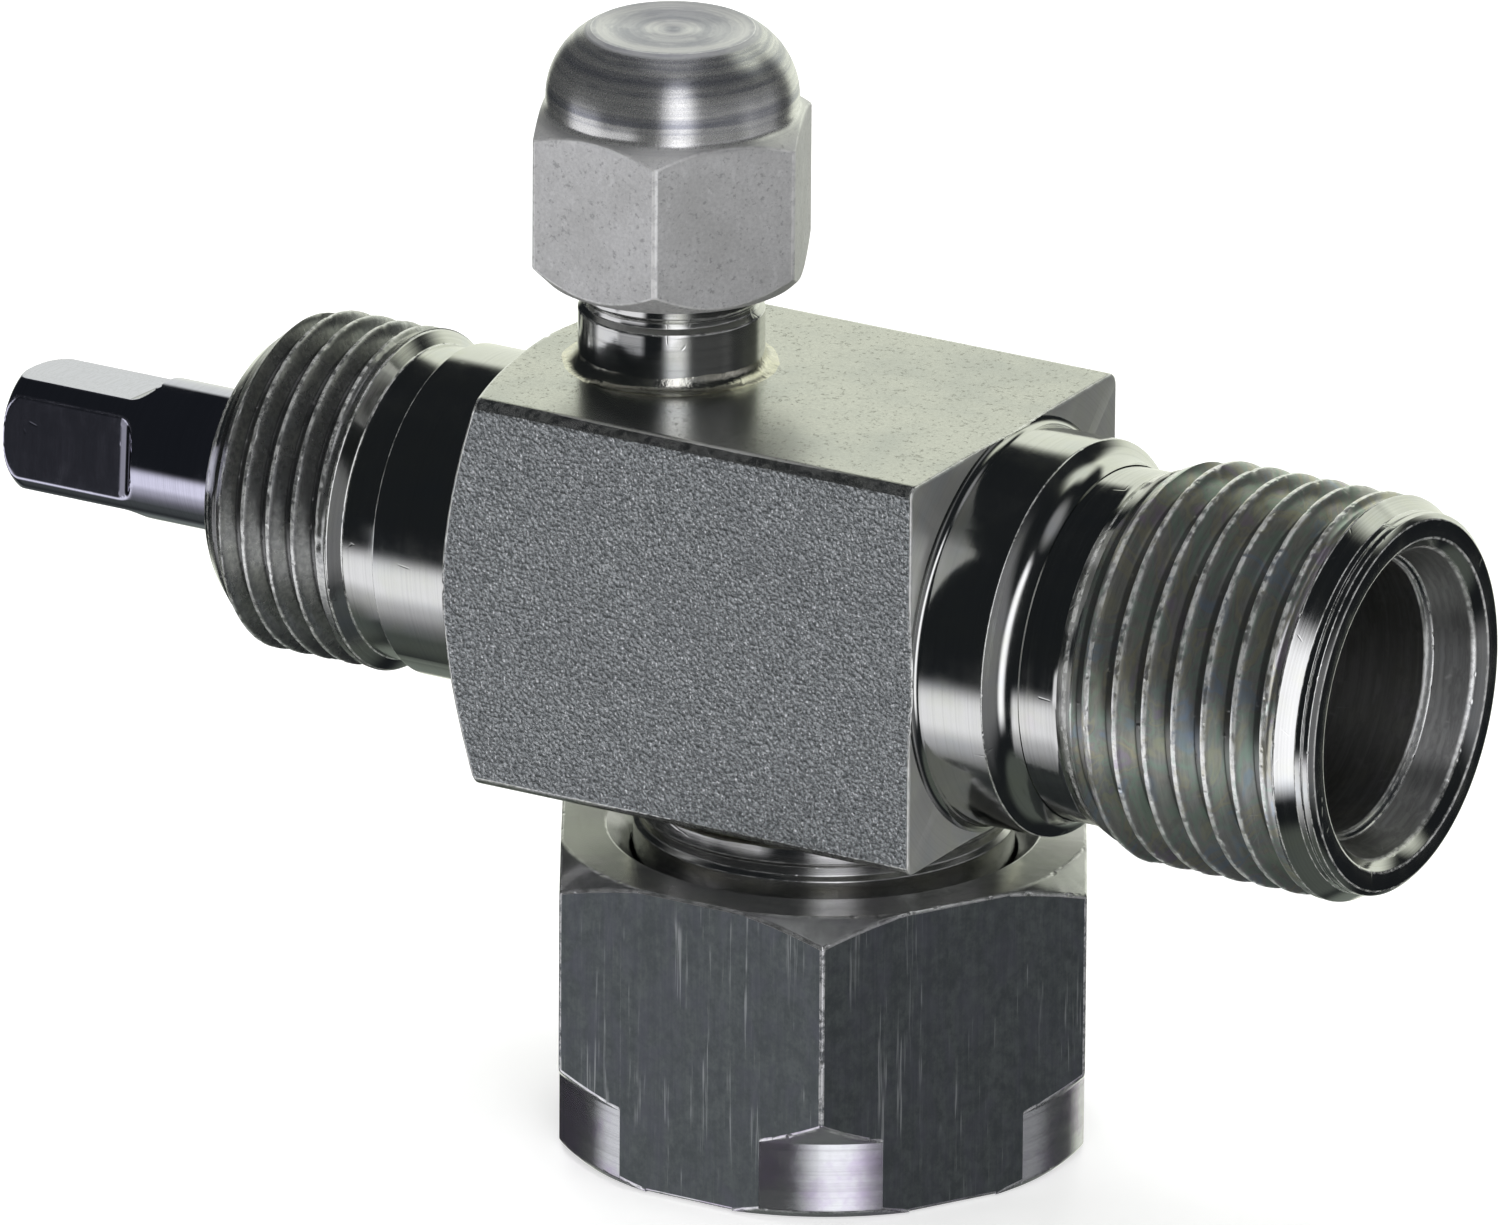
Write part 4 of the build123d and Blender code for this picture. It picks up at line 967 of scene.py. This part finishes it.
def stem_outline(theta):
    profile = [(STEM_TIP, 0.0), (STEM_TIP, 1.5), (STEM_TIP, 2.7)]
    profile += [(-49.5 - 1.2 * math.cos(0.09 * k), 2.77 + 1.2 * math.sin(0.09 * k)) for k in range(18)]
    profile += [(s, STEM_RADIUS) for s in (-49.3, -48.0, -45.0, -43.4)]
    profile += [(SQUARE_END + 0.11 * k, STEM_RADIUS) for k in range(13)]
    profile += [(-24.5, STEM_RADIUS)]
    off_flat = (theta + SQUARE_TURN + TURN / 8) % (TURN / 4) - TURN / 8
    points = []
    for s, r in profile:
        flat = flat_depth(s) / math.cos(off_flat)
        edge = max(EDGE_WIDTH - abs(flat - r), 0.0) / EDGE_WIDTH
        mark = edge if s < -41 and r > 3 else 0.0
        # the run-out takes the root mark: painted shade that dims its highlight
        if SQUARE_END < s < RUNOUT_END and flat < r - EDGE_WIDTH:
            mark = -1.0
        points.append((s, min(r, flat) - EDGE_WIDTH / 4 * edge * edge if r > 2 else r, mark))
    rows = thread(theta, -24.4, -13.1, STEM_PITCH, STEM_THREAD, screw_blank)
    tail = rounded([
        (-13.0, 3.97, 0.0), (-13.0, 3.3, 0.1), (-9.0, 3.3, 0.2), (-8.0, 4.4, 0.1), (-7.05, 4.4, 0.08),
        (-7.05, 2.5, 0.0), (-1.66, 2.5, 0.0), (-1.66, 2.0, 0.0), (-0.96, 2.0, 0.0), (-0.96, 2.5, 0.0),
        (-0.6, 2.5, 0.0), (-0.4, 2.3, 0.0), (-0.4, 0.0, 0.0), (-20.0, 0.0, 0.0),
    ])
    return points + rows + tail[:-1]


flat_half = math.acos(SQUARE_FLAT / STEM_RADIUS)
square_edges = [TURN / 4 * k + side * flat_half - SQUARE_TURN for k in range(4) for side in (-1, 1)]
stem = build("square_stem", stem_outline, directions(160, square_edges, math.radians(2.2)))
finish_piece(stem, looks["stem_steel"], "stem", "valve_stem")

# ---------------------------------------------------------------- the small inner pieces keep their CAD meshes
kept = {
    "connector_gasket": "copper", "spud_gasket": "fluoroplastic", "port_cap_seal": "copper",
    "seat_disc": "stem_steel", "disc_spring_washer": "spring_steel", "disc_retaining_ring": "spring_steel",
    "packing_seat_washer": "spring_steel", "packing_ring_1": "packing", "packing_ring_2": "packing",
    "packing_ring_3": "packing", "packing_follower": "spring_steel", "packing_gland": "gland_plate",
}
for node_name, look in kept.items():
    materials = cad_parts[node_name].data.materials
    materials.clear()
    materials.append(looks[look])

# ---------------------------------------------------------------- floor and studio, in metres
floor_mesh = bpy.data.meshes.new("floor")
floor_mesh.from_pydata([(-3, -3, 0), (3, -3, 0), (3, 3, 0), (-3, 3, 0)], [], [(0, 1, 2, 3)])
floor = bpy.data.objects.new("floor", floor_mesh)
bpy.context.scene.collection.objects.link(floor)
floor.location.z = -0.0002
floor.visible_glossy = False
paper = Shader("floor_paper")
paper.put(paper.bsdf.inputs["Emission Color"], (0.97, 0.97, 0.965, 1.0))
paper.bsdf.inputs["Emission Strength"].default_value = 0.55
tone = paper.ramp(paper.noise(paper.place, 900, 3), 0.3, 0.7)
floor_mesh.materials.append(paper.done(paper.mix(tone, (0.86, 0.86, 0.855), (0.83, 0.83, 0.825)), 0.9, 0.0))

scene = bpy.context.scene
scene.view_settings.view_transform = "Standard"
scene.view_settings.look = "None"
world = bpy.data.worlds.new("studio")
scene.world = world
world.use_nodes = True
sky = Nodes(world.node_tree, "Generated")
dx, dy, dz = sky.parts(sky.place)
azimuth = sky.times(sky.math("ARCTAN2", dy, dx), 180 / math.pi)
elevation = sky.times(sky.math("ARCSINE", dz), 180 / math.pi)

# What polished metal reflects: a tint, then soft boxes as azimuth from +X, half width, softness, lower and
# upper elevation, softness, all in degrees, and strength.
AMBIENT = (0.014, 0.016, 0.018)
STUDIO = (
    ((0.93, 0.96, 0.84), (                      # behind the part: the upper faces
        (107, 32, 8, -31, 32, 4, 1.02),
        (68, 22, 10, 32, 52, 6, 0.9),           # right end of the nut's crown
    )),
    ((0.96, 0.955, 1.0), (                      # beside and over the camera
        (-132, 37, 5, -43, -20, 5, 0.5),        # the band low on the necks, and its soft lower side
        (-132, 37, 5, -54, -21, 9, 0.62),
        (-53, 12, 8, -36, 55, 8, 1.6),          # the line down the upright pieces
        (-146, 17, 4, -20, -4, 3, 1.0),
        (-8, 26, 9, -35, 20, 10, 0.20),         # the faces turned to the right
        (28, 20, 8, -35, 12, 10, 0.28),
        (0, 200, 10, 74, 110, 8, 0.30),         # straight above: front of the crown
    )),
    ((0.8, 0.9, 0.78), (                        # from the floor: lower edges
        (-60, 180, 10, -90, -58, 5, 0.10),
        (125, 25, 10, -52, -31, 6, 0.22),
    )),
)


def softbox(az, az_half, az_soft, el_low, el_high, el_soft, strength):
    """A soft-edged bright area of the studio."""
    off = sky.math("ABSOLUTE", sky.math("WRAP", sky.minus(azimuth, az), 180.0, -180.0))
    wide = sky.ramp(off, az_half - az_soft, az_half + az_soft, 1.0, 0.0)
    tall = sky.times(sky.ramp(elevation, el_low - el_soft, el_low + el_soft),
                     sky.ramp(elevation, el_high - el_soft, el_high + el_soft, 1.0, 0.0))
    return sky.times(sky.times(wide, tall), strength)


def color_math(operation, a, b):
    return sky.fill(sky.add("VectorMath", operation=operation), a, b)


light = AMBIENT
for tint, boxes in STUDIO:
    strength = 0.0
    for box in boxes:
        strength = sky.plus(strength, softbox(*box))
    glow = sky.add("VectorMath", operation="SCALE")
    sky.put(glow.inputs[0], tint)
    sky.put(glow.inputs["Scale"], strength)
    light = color_math("ADD", light, glow.outputs[0])
seen = sky.add("LightPath").outputs["Is Camera Ray"]
background = sky.add("Background")
sky.put(background.inputs[0], sky.mix(seen, light, (1.0, 1.0, 1.0)))
sky.put(sky.add("OutputWorld").inputs[0], background.outputs[0])


def lamp(name, energy, size, place, aim_height):
    """A square light aimed at the part. Reflections don't show it, so it lights only what scatters light."""
    data = bpy.data.lights.new(name, "AREA")
    data.energy = energy
    data.size = size
    piece = bpy.data.objects.new(name, data)
    piece.location = place
    piece.rotation_euler = (Vector((0, 0, aim_height)) - piece.location).to_track_quat("-Z", "Y").to_euler()
    piece.visible_glossy = False
    scene.collection.objects.link(piece)


lamp("overhead", 3.2, 0.6, (-0.15, 0.1, 0.7), 0.02)
lamp("fill", 3.0, 0.5, (0.42, -0.72, 0.5), 0.03)
lamp("rear", 2.2, 0.5, (-0.45, 0.70, 0.45), 0.03)

# ---------------------------------------------------------------- camera, solved from edges in the photograph
CAMERA_AZIMUTH, CAMERA_ELEVATION, CAMERA_ROLL = (math.radians(angle) for angle in (30.27, 20.2, 0.38))
CAMERA_DISTANCE = 1350.0
VIEW_WIDTH = 81.345             # how much of the part's plane the picture's width shows
AIM_RIGHT, AIM_UP = 4.1106, 1.4967      # from the picture's centre to the point where the axes cross
SENSOR_WIDTH = 36.0

camera_data = bpy.data.cameras.new("camera")
camera = bpy.data.objects.new("camera", camera_data)
scene.collection.objects.link(camera)
scene.camera = camera
level = Vector((math.cos(CAMERA_AZIMUTH), math.sin(CAMERA_AZIMUTH), 0.0))
back = Vector((math.sin(CAMERA_AZIMUTH) * math.cos(CAMERA_ELEVATION),
               -math.cos(CAMERA_AZIMUTH) * math.cos(CAMERA_ELEVATION), math.sin(CAMERA_ELEVATION)))
upward = back.cross(level)
right = level * math.cos(CAMERA_ROLL) + upward * math.sin(CAMERA_ROLL)
up = upward * math.cos(CAMERA_ROLL) - level * math.sin(CAMERA_ROLL)
spot = Vector((0, 0, AXIS_HEIGHT)) + back * CAMERA_DISTANCE - right * AIM_RIGHT - up * AIM_UP
camera.matrix_world = Matrix.Translation(spot * MM) @ Matrix((right, up, back)).transposed().to_4x4()
camera_data.sensor_width = SENSOR_WIDTH
camera_data.lens = SENSOR_WIDTH * CAMERA_DISTANCE / VIEW_WIDTH
camera_data.clip_end = 20.0
